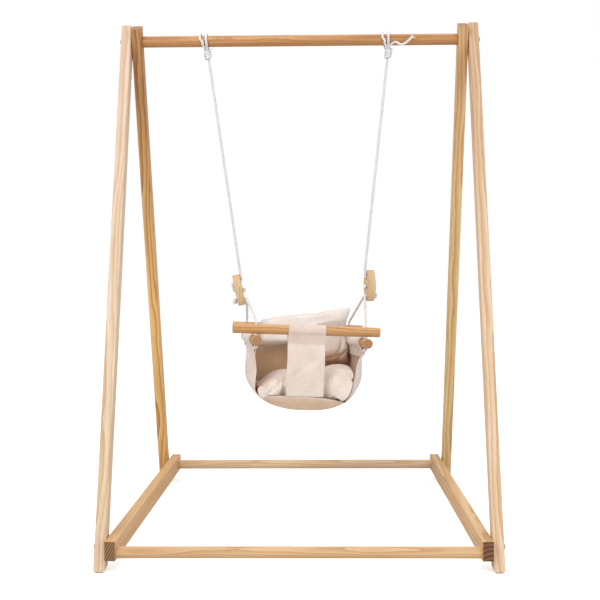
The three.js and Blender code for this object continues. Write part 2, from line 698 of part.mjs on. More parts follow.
function hangZ(x, y) {
  const along = THREE.MathUtils.clamp((y - shellFront) / (shellRear - shellFront), 0, 1);
  let low = 0.25;
  let high = 1;
  for (let step = 0; step < 24; step += 1) {
    const middle = (low + high) / 2;
    if (wallX(middle, along) > Math.abs(x)) low = middle;
    else high = middle;
  }
  return -sleeveDrop - shellDepth * low;
}

const rearRise = (y) => shellRearRise * Math.max(0, (y - shellRiseFrom) / (shellRear - shellRiseFrom)) ** 2;

function shellPoint(u, v) {
  const angle = Math.PI * (1 - u);
  const share = Math.sin(angle) ** (2 / shellPower);
  const middle = Math.max(0, 1 - ((Math.cos(angle) * shellHalfWidth - frontBarShift) / lipHalfWidth) ** 2);
  const lipShare = share > 0.7 ? middle : 0;
  const along = v < 0.4 ? v * 0.45 : 0.18 + (v - 0.4) * (0.82 / 0.6);
  const y = THREE.MathUtils.lerp(shellFront - lipReach * lipShare, shellRear, along);
  const x = Math.sign(Math.cos(angle)) * wallX(Math.min(share, 1), along);
  const lip = lipHeight * lipShare * Math.max(0, 1 - along / 0.15) ** 1.6;
  return new THREE.Vector3(x, y, -sleeveDrop - shellDepth * share + lip + rearRise(y) * Math.min(1, share * 1.4));
}

// A drop-shaped tunnel round a bar, in the XY plane with its tip towards -Y, run out along Z
function dropOutline(radius, tip) {
  const path = new THREE.Path();
  const reach = Math.asin(radius / tip);
  path.absarc(0, 0, radius, -reach, Math.PI + reach, false);
  path.lineTo(0, -tip);
  path.closePath();
  return path.getPoints(12);
}

function dropTunnel(innerRadius, drop, length) {
  const outer = new THREE.Shape(dropOutline(innerRadius + canvasThickness, drop + tunnelSeam));
  outer.holes.push(new THREE.Path(dropOutline(innerRadius, drop - tunnelSeam + 1)));
  return new THREE.ExtrudeGeometry(outer, { depth: length, bevelEnabled: false });
}

function sleeve(x) {
  const tunnel = dropTunnel(seatBarRadius + seatGap, sleeveDrop, sleeveLength);
  return tunnel.rotateX(Math.PI / 2).translate(x, sleeveLength / 2, 0);
}

function addCanvasSeat() {
  const shell = sheet(shellPoint, 32, 9, canvasThickness);
  addSeatPiece('canvas_seat', join(shell, sleeve(-sideBarX), sleeve(sideBarX)), looks.canvas);
}

// Back panel: from the seat's rear edge up in front of the back bar
function panelLean(x, z) {
  const slant = THREE.MathUtils.mapLinear(x, panelLeftX, panelRightX, leftSlant, rightSlant);
  const above = Math.max(0, z - leanFrom);
  return (slant * above * above) / (above + leanFrom);
}

const panelTop = (x) => {
  const share = THREE.MathUtils.clamp((x - panelLeftX) / (panelRightX - panelLeftX), 0, 1);
  return THREE.MathUtils.lerp(panelLeftTop, panelRightTop, share ** 0.8);
};

const panelY = shellRear - 2;

// The panel fills the seat from wall to wall below the sleeves, and passes between them above
function panelHalf(z) {
  const { clamp, lerp, smoothstep } = THREE.MathUtils;
  const share = clamp((-sleeveDrop - z) / shellDepth, 0, 1);
  const low = Math.min(panelFootX, wallX(share, 1) - canvasThickness - cushionGap);
  return lerp(low, panelSideX, smoothstep(z, -sleeveDrop - tunnelSeam, -seatBarDiameter / 2));
}

function panelPoint(u, v) {
  const { lerp } = THREE.MathUtils;
  const topX = lerp(panelLeftX, panelRightX, u);
  const foot = hangZ(lerp(-panelFootX, panelFootX, u), shellRear) + panelFootLift;
  const z = lerp(foot, panelTop(topX), v);
  const half = panelHalf(z);
  const x = lerp(lerp(-half, half, u), topX, Math.max(0, 2 * v - 1));
  return new THREE.Vector3(x, panelY - panelLean(x, z), z);
}

function addBackPanel() {
  addSeatPiece('back_panel', sheet(panelPoint, panelCells, panelCells, canvasThickness), looks.canvas);
}

// Crotch strap: a loop over the front bar, sewn to itself below the bar, then one band down to the lip
function addCrotchStrap() {
  const y = -crossBarReach;
  const half = canvasThickness / 2;
  const seamZ = crossBarZ - strapSeamDrop;
  const lipY = shellFront - lipReach;
  const lipZ = -sleeveDrop - shellDepth + lipHeight + canvasThickness / 2 + seatGap;
  const bow = y - strapBow;
  const band = new THREE.Shape().moveTo(y + half, seamZ + tunnelSeam);
  band.quadraticCurveTo(bow + half, (seamZ + lipZ) / 2, lipY + half, lipZ);
  band.lineTo(lipY - half, lipZ);
  band.quadraticCurveTo(bow - half, (seamZ + lipZ) / 2, y - half, seamZ + tunnelSeam);
  const loop = dropTunnel(crossBarRadius + seatGap, strapSeamDrop, strapWidth);
  loop.applyMatrix4(sideView).translate(frontBarShift - strapWidth / 2, y, crossBarZ);
  const strap = join(extrudeAlongX(band, frontBarShift - strapWidth / 2, frontBarShift + strapWidth / 2), loop);
  addSeatPiece('crotch_strap', strap, looks.canvas);
}

// Cushions: crowned on both faces, with drawn-in sides and a flattened face where they lie on the canvas
function pillow(outline, thickness, floorAt, columns = 16, rows = 11) {
  const top = [];
  const bottom = [];
  for (let i = 0; i <= columns; i += 1) {
    for (let j = 0; j <= rows; j += 1) {
      const u = (2 * i) / columns - 1;
      const v = (2 * j) / rows - 1;
      const drawU = 1 - 0.05 * (1 - v * v);
      const drawV = 1 - 0.05 * (1 - u * u);
      const [x, y] = outline(Math.sin((u * Math.PI) / 2) * drawU, Math.sin((v * Math.PI) / 2) * drawV);
      const crown = (thickness / 2) * (Math.cos((u * Math.PI) / 2) * Math.cos((v * Math.PI) / 2)) ** 0.36;
      const rim = 2;
      top.push(new THREE.Vector3(x, y, rim + crown));
      bottom.push(new THREE.Vector3(x, y, Math.max(-rim - crown, floorAt(x, y))));
    }
  }
  return closedGrid(bottom, top, columns, rows);
}

function addSeatCushion() {
  const { frontPast, rearGap, sideGap, thickness, lift } = seatCushion;
  const front = shellFront - frontPast;
  const depth = panelY - rearGap - front;
  const centreY = front + depth / 2;
  const rimShare = (-sleeveDrop - lift) / shellDepth;
  const outline = (across, along) => {
    const y = (depth / 2) * along;
    const inSeat = THREE.MathUtils.clamp((y + centreY - shellFront) / (shellRear - shellFront), 0, 1);
    return [(wallX(rimShare, inSeat) - sideGap) * across, y];
  };
  const floorAt = (x, y) => {
    const slope = (hangZ(Math.abs(x) + 1, y + centreY) - hangZ(Math.abs(x) - 1, y + centreY)) / 2;
    const canvasTop = hangZ(x, y + centreY) + rearRise(y + centreY) + canvasThickness * Math.hypot(1, slope);
    return canvasTop + cushionGap - lift;
  };
  addSeatPiece('seat_cushion', pillow(outline, thickness, floorAt).translate(0, centreY, lift), looks.cushion);
}

function addBackCushion() {
  const { leftInset, rightInset, thickness, ahead, leftFoot, rightFoot, belowTop } = backCushion;
  const left = panelLeftX + leftInset;
  const right = panelRightX - rightInset;
  const y = panelY - ahead;
  const outline = (across, up) => {
    const x = THREE.MathUtils.lerp(left, right, (across + 1) / 2);
    const foot = THREE.MathUtils.lerp(leftFoot, rightFoot, THREE.MathUtils.smoothstep(x, -40, 70));
    return [x, THREE.MathUtils.lerp(foot, panelTop(x) - belowTop, (up + 1) / 2)];
  };
  const floorAt = () => y - panelY + canvasThickness + cushionGap;
  const cushion = pillow(outline, thickness, floorAt).rotateX(Math.PI / 2).translate(0, y, 0);
  const place = cushion.attributes.position;
  for (let i = 0; i < place.count; i += 1) place.setY(i, place.getY(i) - panelLean(place.getX(i), place.getZ(i)));
  addSeatPiece('back_cushion', cushion, looks.cushion);
}

const hands = [{ name: 'left', sign: -1 }, { name: 'right', sign: 1 }];

addBeam();
for (const hand of hands) {
  for (const end of ['front', 'rear']) {
    addLeg(hand, end);
    addFootPad(hand, end);
  }
  addBoltsAndWashers(hand);
  addRail(hand);
  addSideBar(hand);
}
addPiece('front_crossbar', crossbarBody(frontCrossbar), looks.crossbar);
addPiece('rear_crossbar', cut(crossbarBody(rearCrossbar), ...rearCrossbarBores(rearCrossbar)), looks.crossbar);
addAdjuster('left_adjuster', leftAdjuster);
addAdjuster('right_adjuster', rightAdjuster);
addHangingRope(hands[0], leftKnot, leftTail, 5, leftAdjuster);
addHangingRope(hands[1], rightKnot, rightTail, 14, rightAdjuster);
addSlingRope(hands[0], leftAdjuster);
addSlingRope(hands[1], rightAdjuster);
addCrossBar('front_bar', frontBarLength, -crossBarReach, frontBarShift);
addCrossBar('back_bar', backBarLength, crossBarReach);
addCanvasSeat();
addBackPanel();
addCrotchStrap();
addSeatCushion();
addBackCushion();

export default swing;
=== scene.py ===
import json
import math

import bmesh
import bpy
import numpy as np
from mathutils import Matrix, Vector, noise


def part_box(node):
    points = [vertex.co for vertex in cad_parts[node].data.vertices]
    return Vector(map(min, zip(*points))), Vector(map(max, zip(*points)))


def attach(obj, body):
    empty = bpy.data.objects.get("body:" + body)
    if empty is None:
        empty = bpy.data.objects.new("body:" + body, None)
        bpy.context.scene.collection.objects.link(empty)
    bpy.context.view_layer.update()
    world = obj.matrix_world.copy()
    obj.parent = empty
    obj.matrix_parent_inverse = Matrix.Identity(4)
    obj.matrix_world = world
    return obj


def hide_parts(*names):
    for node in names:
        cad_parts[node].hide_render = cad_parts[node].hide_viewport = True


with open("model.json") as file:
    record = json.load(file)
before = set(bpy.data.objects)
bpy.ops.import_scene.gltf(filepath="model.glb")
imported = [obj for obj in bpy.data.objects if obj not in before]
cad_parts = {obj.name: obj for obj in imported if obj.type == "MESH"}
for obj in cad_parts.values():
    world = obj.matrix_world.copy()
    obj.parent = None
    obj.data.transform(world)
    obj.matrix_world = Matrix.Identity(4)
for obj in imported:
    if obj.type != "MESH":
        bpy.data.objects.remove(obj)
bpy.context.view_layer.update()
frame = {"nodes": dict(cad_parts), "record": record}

# Sizes that the source gives too, in metres
BEAM_HEIGHT = 1.376
BEAM_RADIUS = 0.016
BEAM_LENGTH = 0.8994
LEG_LEAN = math.atan2(0.5, BEAM_HEIGHT)
RAIL_HEIGHT = 0.055
FOOT_BOLT_Y = 0.5 * (1 - RAIL_HEIGHT / BEAM_HEIGHT)
CROSSBAR_RADIUS = 0.0145
SIDE_BAR_X = 0.154
SIDE_BAR_RADIUS = 0.0135
CROSS_BAR_RADIUS = 0.0135
CROSS_BAR_Y = 0.130
CROSS_BAR_Z = 0.031
FRONT_BAR_SHIFT = -0.012
ADJUSTER_HALF = 0.044
ADJUSTER_THICKNESS = 0.020
ADJUSTER_HOLES = (0.024, -0.002, -0.029)
ROPE_RADIUS = 0.004
ROPE_OFF_FACE = 0.0145
ROPE_HOLE_RADIUS = 0.0052
DRILL_RUN = Vector((0, 0, 0.05))  # a bit starts and ends this far from the bar's axis
ADJUSTERS = {
    "left": Matrix.Translation((-0.1785, 0, 0.6632)) @ Matrix.Rotation(math.radians(-12), 4, "Y"),
    "right": Matrix.Translation((0.1975, 0, 0.6745)) @ Matrix.Rotation(math.radians(23), 4, "Z"),
}
KNOTS = {"left": (-0.263, 0.037, (-0.283, -0.266)), "right": (0.2528, 0.038, (0.236, 0.2525))}
SEAT = (
    Matrix.Translation((0.008, 0, 0.5185))
    @ Matrix.Rotation(math.radians(9), 4, "Z")
    @ Matrix.Rotation(math.radians(2.85), 4, "Y")
    @ Matrix.Rotation(math.radians(-4), 4, "X")
)
HANDS = (("left", -1), ("right", 1))
WAVE_LENGTH = 0.314  # a wave pattern of scale 1 repeats after this many metres


# Camera: fitted to the edges of the stand, 600 x 600, a 72 mm lens on a 36 mm sensor
def add_camera():
    yaw, pitch, roll = -0.0227, 0.0343, -0.0059
    forward = Vector((math.sin(yaw) * math.cos(pitch), math.cos(yaw) * math.cos(pitch), -math.sin(pitch)))
    right = Vector((math.cos(yaw), -math.sin(yaw), 0))
    up = right.cross(forward)
    across = right * math.cos(roll) + up * math.sin(roll)
    upright = up * math.cos(roll) - right * math.sin(roll)
    camera = bpy.data.objects.new("camera", bpy.data.cameras.new("camera"))
    bpy.context.scene.collection.objects.link(camera)
    turn = Matrix((across, upright, -forward)).transposed().to_4x4()
    camera.matrix_world = Matrix.Translation((0.0661, -3.445, 0.9005)) @ turn
    camera.data.lens = 72
    camera.data.sensor_width = 36
    camera.data.shift_x = 0.0058
    camera.data.shift_y = -0.086
    bpy.context.scene.camera = camera


def linear(code):
    """An sRGB hex colour as linear red, green, blue and alpha."""
    parts = [int(code[i : i + 2], 16) / 255 for i in (1, 3, 5)]
    return [p / 12.92 if p <= 0.04045 else ((p + 0.055) / 1.055) ** 2.4 for p in parts] + [1.0]


def add_node(tree, kind, inputs=None, stops=(), **settings):
    """Adds a shader node. Inputs are values or the sockets that feed it. Stops are (position, sRGB hex)."""
    made = tree.nodes.new("ShaderNode" + kind)
    for key, value in settings.items():
        setattr(made, key, value)
    for key, value in (inputs or {}).items():
        if isinstance(value, bpy.types.NodeSocket):
            tree.links.new(value, made.inputs[key])
        else:
            made.inputs[key].default_value = value
    if stops:
        bands = made.color_ramp.elements
        while len(bands) < len(stops):
            bands.new(0.5)
        for band, (place, code) in zip(bands, stops):
            band.position = place
            band.color = linear(code)
    return made


def new_material(name, **shader):
    """A material whose shader has these inputs; returns it with its tree and its shader node."""
    material = bpy.data.materials.new(name)
    material.use_nodes = True
    tree = material.node_tree
    tree.nodes.clear()
    surface = add_node(tree, "BsdfPrincipled", {k.replace("_", " "): v for k, v in shader.items()})
    add_node(tree, "OutputMaterial", {"Surface": surface.outputs[0]})
    return material, tree, surface


def toned(tree, colour, weight, factor, stops):
    """A colour multiplied by the tone that the factor gives."""
    tone = add_node(tree, "ValToRGB", {"Fac": factor}, stops).outputs[0]
    both = {0: weight, 6: colour, 7: tone}
    return add_node(tree, "Mix", both, data_type="RGBA", blend_type="MULTIPLY").outputs[2]


def dress(tree, surface, colour, height=None, strength=1.0, distance=0.001):
    """Gives the shader its colour, and fine relief whose full height is distance, in metres."""
    tree.links.new(colour, surface.inputs["Base Color"])
    if height:
        relief = add_node(tree, "Bump", {"Height": height, "Strength": strength, "Distance": distance})
        tree.links.new(relief.outputs[0], surface.inputs["Normal"])


def stem_place(tree, where, centre, grain, pith):
    """Coordinates along the stem, which was never quite straight: the rings wander by some millimetres."""
    turn = Vector(grain).normalized().rotation_difference(Vector((0, 0, 1)))
    place = -(turn @ Vector(centre)) - Vector((pith[0], pith[1], 0))
    upright = {"Vector": where, "Location": place, "Rotation": turn.to_euler()}
    local = add_node(tree, "Mapping", upright).outputs[0]
    along = add_node(tree, "Mapping", {"Vector": local, "Scale": (9, 9, 2.2)}).outputs[0]
    wander = add_node(tree, "TexNoise", {"Vector": along, "Scale": 1.0, "Detail": 2.0}).outputs["Color"]
    shift = add_node(tree, "VectorMath", {0: wander, 1: (0.5, 0.5, 0.5)}, operation="SUBTRACT").outputs[0]
    shift = add_node(tree, "VectorMath", {0: shift, 1: (0.022, 0.022, 0)}, operation="MULTIPLY").outputs[0]
    return add_node(tree, "VectorMath", {0: local, 1: shift}, operation="ADD").outputs[0]


def growth_rings(tree, place, ring):
    """Rings with a pale start and a dark end, ring metres apart."""
    bands = {
        "Vector": place, "Scale": WAVE_LENGTH / ring, "Distortion": 0.6, "Detail": 1.0, "Detail Scale": 0.6
    }
    made = add_node(tree, "TexWave", bands, wave_type="RINGS", rings_direction="Z", wave_profile="SAW")
    return made.outputs["Fac"]


def end_grain(tree, colour, rings, normal, grain, ends):
    """End grain drinks more oil and is darker."""
    grain = Vector(grain).normalized()
    facing = add_node(tree, "VectorMath", {0: normal, 1: grain}, operation="DOT_PRODUCT").outputs["Value"]
    facing = add_node(tree, "Math", {0: facing}, operation="ABSOLUTE").outputs[0]
    is_end = add_node(tree, "MapRange", {"Value": facing, "From Min": 0.6, "From Max": 0.85}).outputs[0]
    end, pale, late = ends
    stops = [(0.0, end), (0.3, pale), (0.55, end), (0.85, late), (1.0, end)]
    tone = add_node(tree, "ValToRGB", {"Fac": rings}, stops).outputs[0]
    return add_node(tree, "Mix", {0: is_end, 6: colour, 7: tone}, data_type="RGBA").outputs[2]


# Growth rings are cut through by the faces, so the sides show straight grain and the ends show arcs
def planed_wood(
    name, centre, grain, colours, ring, pith, roughness=0.55, streak=0.35,
    ends=("#966C4E", "#A57B58", "#7D553B"), face=None, top=None,
):
    """Colours are for early, late and middle wood. Ends are the end grain's plain, pale and late tones."""
    material, tree, surface = new_material(name, Roughness=roughness, IOR=1.47)
    where = add_node(tree, "TexCoord")
    place = stem_place(tree, where.outputs["Object"], centre, grain, pith)
    rings = growth_rings(tree, place, ring)
    # Fibres about 0.6 mm wide and 40 mm long, and patches about 20 mm wide and 300 mm long
    fine = add_node(tree, "Mapping", {"Vector": place, "Scale": (1600, 1600, 25)}).outputs[0]
    rough = {"Vector": fine, "Scale": 1.0, "Detail": 3.0, "Roughness": 0.6}
    fibres = add_node(tree, "TexNoise", rough).outputs["Fac"]
    broad = add_node(tree, "Mapping", {"Vector": place, "Scale": (55, 55, 3)}).outputs[0]
    patches = add_node(tree, "TexNoise", {"Vector": broad, "Scale": 1.0, "Detail": 2.0}).outputs["Fac"]
    early, late, middle = colours
    stops = [(0.0, early), (0.55, middle), (0.93, late), (1.0, early)]
    colour = add_node(tree, "ValToRGB", {"Fac": rings}, stops).outputs[0]
    colour = toned(tree, colour, streak, fibres, [(0.3, "#C8B8A6"), (0.62, "#FFFFFF")])
    colour = toned(tree, colour, 0.6, patches, [(0.35, "#E9DCCB"), (0.65, "#FFFFFF")])
    if top:
        # The colour is darker towards the piece's upper end
        height = add_node(tree, "SeparateXYZ", {"Vector": where.outputs["Object"]}).outputs["Z"]
        upper = add_node(tree, "MapRange", {"Value": height, "From Min": 0.6, "From Max": 1.25}).outputs[0]
        colour = toned(tree, colour, 1.0, upper, [(0.0, "#FFFFFF"), (1.0, top)])
    colour = end_grain(tree, colour, rings, where.outputs["Normal"], grain, ends)
    if face:
        # A thin plate with painted light and shade: its two faces are painted paler and pinker than its rim,
        # and the edges between them are painted dark as shade
        flat = add_node(tree, "VectorMath", {0: where.outputs["Normal"], 1: face}, operation="DOT_PRODUCT")
        flat = add_node(tree, "Math", {0: flat.outputs["Value"]}, operation="ABSOLUTE").outputs[0]
        tones = [(0.0, "#F8F5EA"), (0.3, "#F4EEDF"), (0.5, "#8F714E"), (0.8, "#A07E5A"), (0.97, "#FFF2E8")]
        colour = toned(tree, colour, 1.0, flat, tones)
    dress(tree, surface, colour, fibres, 0.18, 0.0004)
    return material


def deselect():
    for thing in bpy.context.selected_objects:
        thing.select_set(False)


def named(name):
    """The active object, which an operator has just made, under this name."""
    piece = bpy.context.view_layer.objects.active
    piece.name = name
    piece.data.name = name
    return piece


def activate(piece):
    deselect()
    piece.select_set(True)
    bpy.context.view_layer.objects.active = piece


def apply_modifiers(piece):
    activate(piece)
    for modifier in list(piece.modifiers):
        bpy.ops.object.modifier_apply(modifier=modifier.name)


def settle(piece):
    """Puts the piece's place into its mesh, so that its object sits at the origin."""
    activate(piece)
    bpy.ops.object.transform_apply(location=True, rotation=True, scale=True)


def lay_along(piece, start, end):
    """Turns a piece that stands along Z so that it lies from start to end."""
    piece.rotation_mode = "QUATERNION"
    piece.rotation_quaternion = (end - start).to_track_quat("Z", "Y")
    piece.location = (start + end) / 2


def cut_away(piece, bit):
    """Takes the bit's form out of the piece."""
    cut = piece.modifiers.new("cut", "BOOLEAN")
    cut.operation = "DIFFERENCE"
    cut.solver = "EXACT"
    cut.object = bit
    apply_modifiers(piece)
    bpy.data.objects.remove(bit)


def drill(piece, start, end, radius):
    """Cuts a round hole from start to end through the piece."""
    start, end = Vector(start), Vector(end)
    deselect()
    bpy.ops.mesh.primitive_cylinder_add(vertices=32, radius=radius, depth=(end - start).length)
    bit = named("bit")
    lay_along(bit, start, end)
    bpy.context.view_layer.update()
    cut_away(piece, bit)


def bevel_edges(piece, chosen, **bevel):
    """Rounds the edges whose two ends are chosen. The piece is the active object."""
    bpy.ops.object.mode_set(mode="EDIT")
    bpy.ops.mesh.select_all(action="DESELECT")
    mesh = bmesh.from_edit_mesh(piece.data)
    for edge in mesh.edges:
        edge.select = chosen(*(corner.co for corner in edge.verts))
    bmesh.update_edit_mesh(piece.data)
    bpy.ops.mesh.bevel(**bevel)
    bpy.ops.object.mode_set(mode="OBJECT")


def ease_corners(piece, width, segments, angle):
    """A live rounding of every edge that is sharper than the angle in degrees."""
    ease = piece.modifiers.new("ease", "BEVEL")
    ease.width = width
    ease.segments = segments
    ease.limit_method = "ANGLE"
    ease.angle_limit = math.radians(angle)


def dowel(name, radius, start, end, ease=0.0015, holes=()):
    """A turned bar from start to end with its end edges eased, and round holes of (start, end, radius)."""
    start, end = Vector(start), Vector(end)
    deselect()
    bpy.ops.mesh.primitive_cylinder_add(
        vertices=72, radius=radius, depth=(end - start).length, end_fill_type="NGON"
    )
    bar = named(name)
    bevel_edges(bar, lambda a, b: abs(a.z - b.z) < 1e-6, offset=ease, segments=4)
    lay_along(bar, start, end)
    settle(bar)
    for hole in holes:
        drill(bar, *hole)
    activate(bar)
    bpy.ops.object.shade_smooth_by_angle(angle=math.radians(35))
    return bar


def finish_piece(piece, material, body, *replaced, slot):
    """Gives a piece its material, the body that it rides on and the nodes that it stands for."""
    piece.data.materials.clear()
    piece.data.materials.append(material)
    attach(piece, body)
    if replaced:
        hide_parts(*replaced)
    return piece


def add_stand_bars():
    """The round top beam and the two round crossbars of the base."""
    half, height = Vector((BEAM_LENGTH / 2, 0, 0)), Vector((0, 0, BEAM_HEIGHT))
    beam = dowel("beam_dowel", BEAM_RADIUS, height - half, height + half, 0.001)
    tones = ("#D0A06C", "#B37B49", "#C5905A")
    beech = planed_wood("oiled beech dowel", height, (1, 0, 0), tones, 0.005, (0.02, 0.03), 0.42, 0.5)
    finish_piece(beam, beech, "rear_frame", "beam", slot="beam_wood")
    for node, tones in (
        ("front_crossbar", ("#EACBA0", "#CFA474", "#DFB98C")),
        ("rear_crossbar", ("#ECD3B4", "#D1AD88", "#E2C4A0")),
    ):
        low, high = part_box(node)
        middle = (low + high) / 2
        reach = Vector((high.x, 0, 0))
        bar = dowel(node + "_dowel", CROSSBAR_RADIUS, middle - reach, middle + reach, 0.001)
        wood = planed_wood("pale dowel " + node.split("_")[0], middle, (1, 0, 0), tones, 0.004, (0.025, 0.02))
        finish_piece(bar, wood, "base_frame", node, slot="dowel_wood")


def soften_timber(node, material):
    """A planed timber keeps its CAD solid, with the sharp lines of its eased edges rounded."""
    timber = frame["nodes"][node]
    weld = timber.modifiers.new("weld", "WELD")
    weld.merge_threshold = 1e-5
    ease_corners(timber, 0.0005, 2, 30)
    timber.data.materials.clear()
    timber.data.materials.append(material)


# Each leg's early, late and middle tone, and the tone that its upper end takes on
LEG_TONES = {
    "left_front": (("#F0DFC6", "#D9B992", "#E7D0B2"), "#F8F5FF"),
    "left_rear": (("#FFD998", "#BE8648", "#F0BE78"), "#CABEBA"),
    "right_front": (("#F2DBC0", "#D6B088", "#E8CAA8"), "#EAE4DE"),
    "right_rear": (("#F2D49E", "#C59D65", "#E3C38B"), "#F2E6E6"),
}
# Each rail's tones, the gap between its rings, the stem's middle, and its end grain
RAIL_WOOD = {
    "left": (("#ECC592", "#C8985E", "#DFB47E"), 0.0057, (0.1, 0.07), ("#86603F", "#A57B58", "#40240F")),
    "right": (("#EAC798", "#CA9E6A", "#E0B886"), 0.0115, (0.023, 0.045), ("#744A2A", "#8A5C38", "#40240F")),
}


def add_timbers():
    """The four planed legs and the two rails, with their grain along them."""
    for hand, sign in HANDS:
        for end, side in (("front", -1), ("rear", 1)):
            low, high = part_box(f"{hand}_{end}_leg")
            grain = (0, -side * math.sin(LEG_LEAN), math.cos(LEG_LEAN))
            tones, top = LEG_TONES[f"{hand}_{end}"]
            wood = planed_wood(
                f"planed pine {hand} {end} leg", (low + high) / 2, grain, tones, 0.0042,
                (0.022 * sign, 0.055), 0.6, 0.4, top=top,
            )
            soften_timber(f"{hand}_{end}_leg", wood)
        low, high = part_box(f"{hand}_rail")
        tones, ring, pith, ends = RAIL_WOOD[hand]
        name = f"planed pine {hand} rail"
        wood = planed_wood(name, (low + high) / 2, (0, 1, 0), tones, ring, pith, ends=ends)
        soften_timber(f"{hand}_rail", wood)


def bored_bar(name, radius, ends, spots):
    """A bar of the seat from end to end, with a rope hole through each spot, all in the seat's frame."""
    holes = [(SEAT @ (spot - DRILL_RUN), SEAT @ (spot + DRILL_RUN), ROPE_HOLE_RADIUS) for spot in spots]
    start, end = (SEAT @ place for place in ends)
    return dowel(name + "_dowel", radius, start, end, holes=holes), start, end


def add_seat_bars():
    """Two side bars, and a front and a back bar above them, threaded on the four rope strands."""
    for hand, sign in HANDS:
        x = sign * SIDE_BAR_X
        ends = [Vector((x, y, 0)) for y in (-0.17, 0.16)]
        spots = [Vector((x, side * CROSS_BAR_Y, 0)) for side in (-1, 1)]
        bar, start, end = bored_bar(f"{hand}_side_bar", SIDE_BAR_RADIUS, ends, spots)
        wood = planed_wood(
            f"turned beech {hand} side bar", start, end - start, ("#E0B988", "#C4935E", "#D4A873"), 0.0032,
            (0.004, 0.006), ends=("#BC8E64", "#A57B58", "#7D553B"),
        )
        finish_piece(bar, wood, "swing_seat", f"{hand}_side_bar", slot="seat_bar_wood")
    for name, y, length, shift in (
        ("front_bar", -CROSS_BAR_Y, 0.412, FRONT_BAR_SHIFT), ("back_bar", CROSS_BAR_Y, 0.390, 0)
    ):
        ends = [Vector((shift + sign * length / 2, y, CROSS_BAR_Z)) for sign in (-1, 1)]
        spots = [Vector((sign * SIDE_BAR_X, y, CROSS_BAR_Z)) for sign in (-1, 1)]
        bar, start, end = bored_bar(name, CROSS_BAR_RADIUS, ends, spots)
        wood = planed_wood(
            f"turned beech {name.replace('_', ' ')}", (start + end) / 2, end - start,
            ("#E0B680", "#BE8A52", "#D2A26A"), 0.0045, (0.018, 0.012), 0.5, 0.45,
            ends=("#BC8C5C", "#A57B58", "#7D553B"),
        )
        finish_piece(bar, wood, "swing_seat", name, slot="seat_bar_wood")


def adjuster_plate(name):
    """An oval plate with square ends and three rope holes. Its faces look along X."""
    deselect()
    bpy.ops.mesh.primitive_circle_add(vertices=64, radius=ADJUSTER_HALF, fill_type="NGON")
    plate = named(name)
    for corner in plate.data.vertices:
        # The round blank is filed to an oval with square ends
        up = max(-1, min(1, corner.co.y / ADJUSTER_HALF * 1.02))
        width = 0.0085 + 0.0117 * (1 - up * up) ** 0.92
        side = max(-1, min(1, corner.co.x / (ADJUSTER_HALF * 0.35)))
        corner.co = Vector((-ADJUSTER_THICKNESS / 2, side * width, up * ADJUSTER_HALF))
    bpy.ops.object.mode_set(mode="EDIT")
    bpy.ops.mesh.select_all(action="SELECT")
    bpy.ops.mesh.remove_doubles(threshold=0.0002)
    bpy.ops.mesh.extrude_region_move(TRANSFORM_OT_translate={"value": (ADJUSTER_THICKNESS, 0, 0)})
    bpy.ops.mesh.select_all(action="SELECT")
    bpy.ops.mesh.normals_make_consistent(inside=False)
    bpy.ops.object.mode_set(mode="OBJECT")
    for height in ADJUSTER_HOLES:
        drill(plate, (-0.05, 0, height), (0.05, 0, height), ROPE_HOLE_RADIUS)
    ease_corners(plate, 0.002, 3, 50)
    apply_modifiers(plate)
    return plate


def add_adjusters():
    """The two plates that the ropes are threaded through."""
    for hand, place in ADJUSTERS.items():
        plate = adjuster_plate(hand + "_adjuster_plate")
        plate.matrix_world = place
        settle(plate)
        bpy.ops.object.shade_smooth_by_angle(angle=math.radians(35))
        turn = place.to_3x3()
        # The plate's faces, rim and edges carry painted light and shade
        wood = planed_wood(
            f"sanded beech {hand} adjuster", place.translation, turn @ Vector((0, 0, 1)),
            ("#FBEAD0", "#E2C496", "#F0D8B2"), 0.003, (0.012, 0.02), 0.6, 0.5,
            ends=("#D6B27E", "#A57B58", "#C09462"), face=turn @ Vector((1, 0, 0)),
        )
        finish_piece(plate, wood, "swing_seat", hand + "_adjuster", slot="adjuster_wood")


def dome_bolt(name, face, tip, sign, y, z):
    """A bolt along X with a domed head and a hexagon socket. The head's flat side is at face."""
    face, tip = Vector((sign * face, y, z)), Vector((sign * tip, y, z))
    out = Vector((sign, 0, 0))
    shank = dowel(name + "_shank", 0.004, tip, face + out * 0.001, 0.0006)
    deselect()
    bpy.ops.mesh.primitive_cylinder_add(vertices=48, radius=0.008, depth=0.005, location=(0, 0, 0.0025))
    head = named(name)
    bpy.ops.object.transform_apply(location=True)
    dome = dict(offset=0.0042, offset_type="OFFSET", segments=7, profile=0.42)
    bevel_edges(head, lambda a, b: min(a.z, b.z) > 0.0049, **dome)
    deselect()
    bpy.ops.mesh.primitive_cylinder_add(vertices=6, radius=0.0029, depth=0.006, location=(0, 0, 0.0058))
    cut_away(head, named("socket"))
    head.rotation_mode = "QUATERNION"
    head.rotation_quaternion = out.to_track_quat("Z", "Y")
    head.location = face
    settle(head)
    shank.select_set(True)
    bpy.context.view_layer.objects.active = head
    bpy.ops.object.join()
    bpy.ops.object.shade_smooth_by_angle(angle=math.radians(40))
    return head


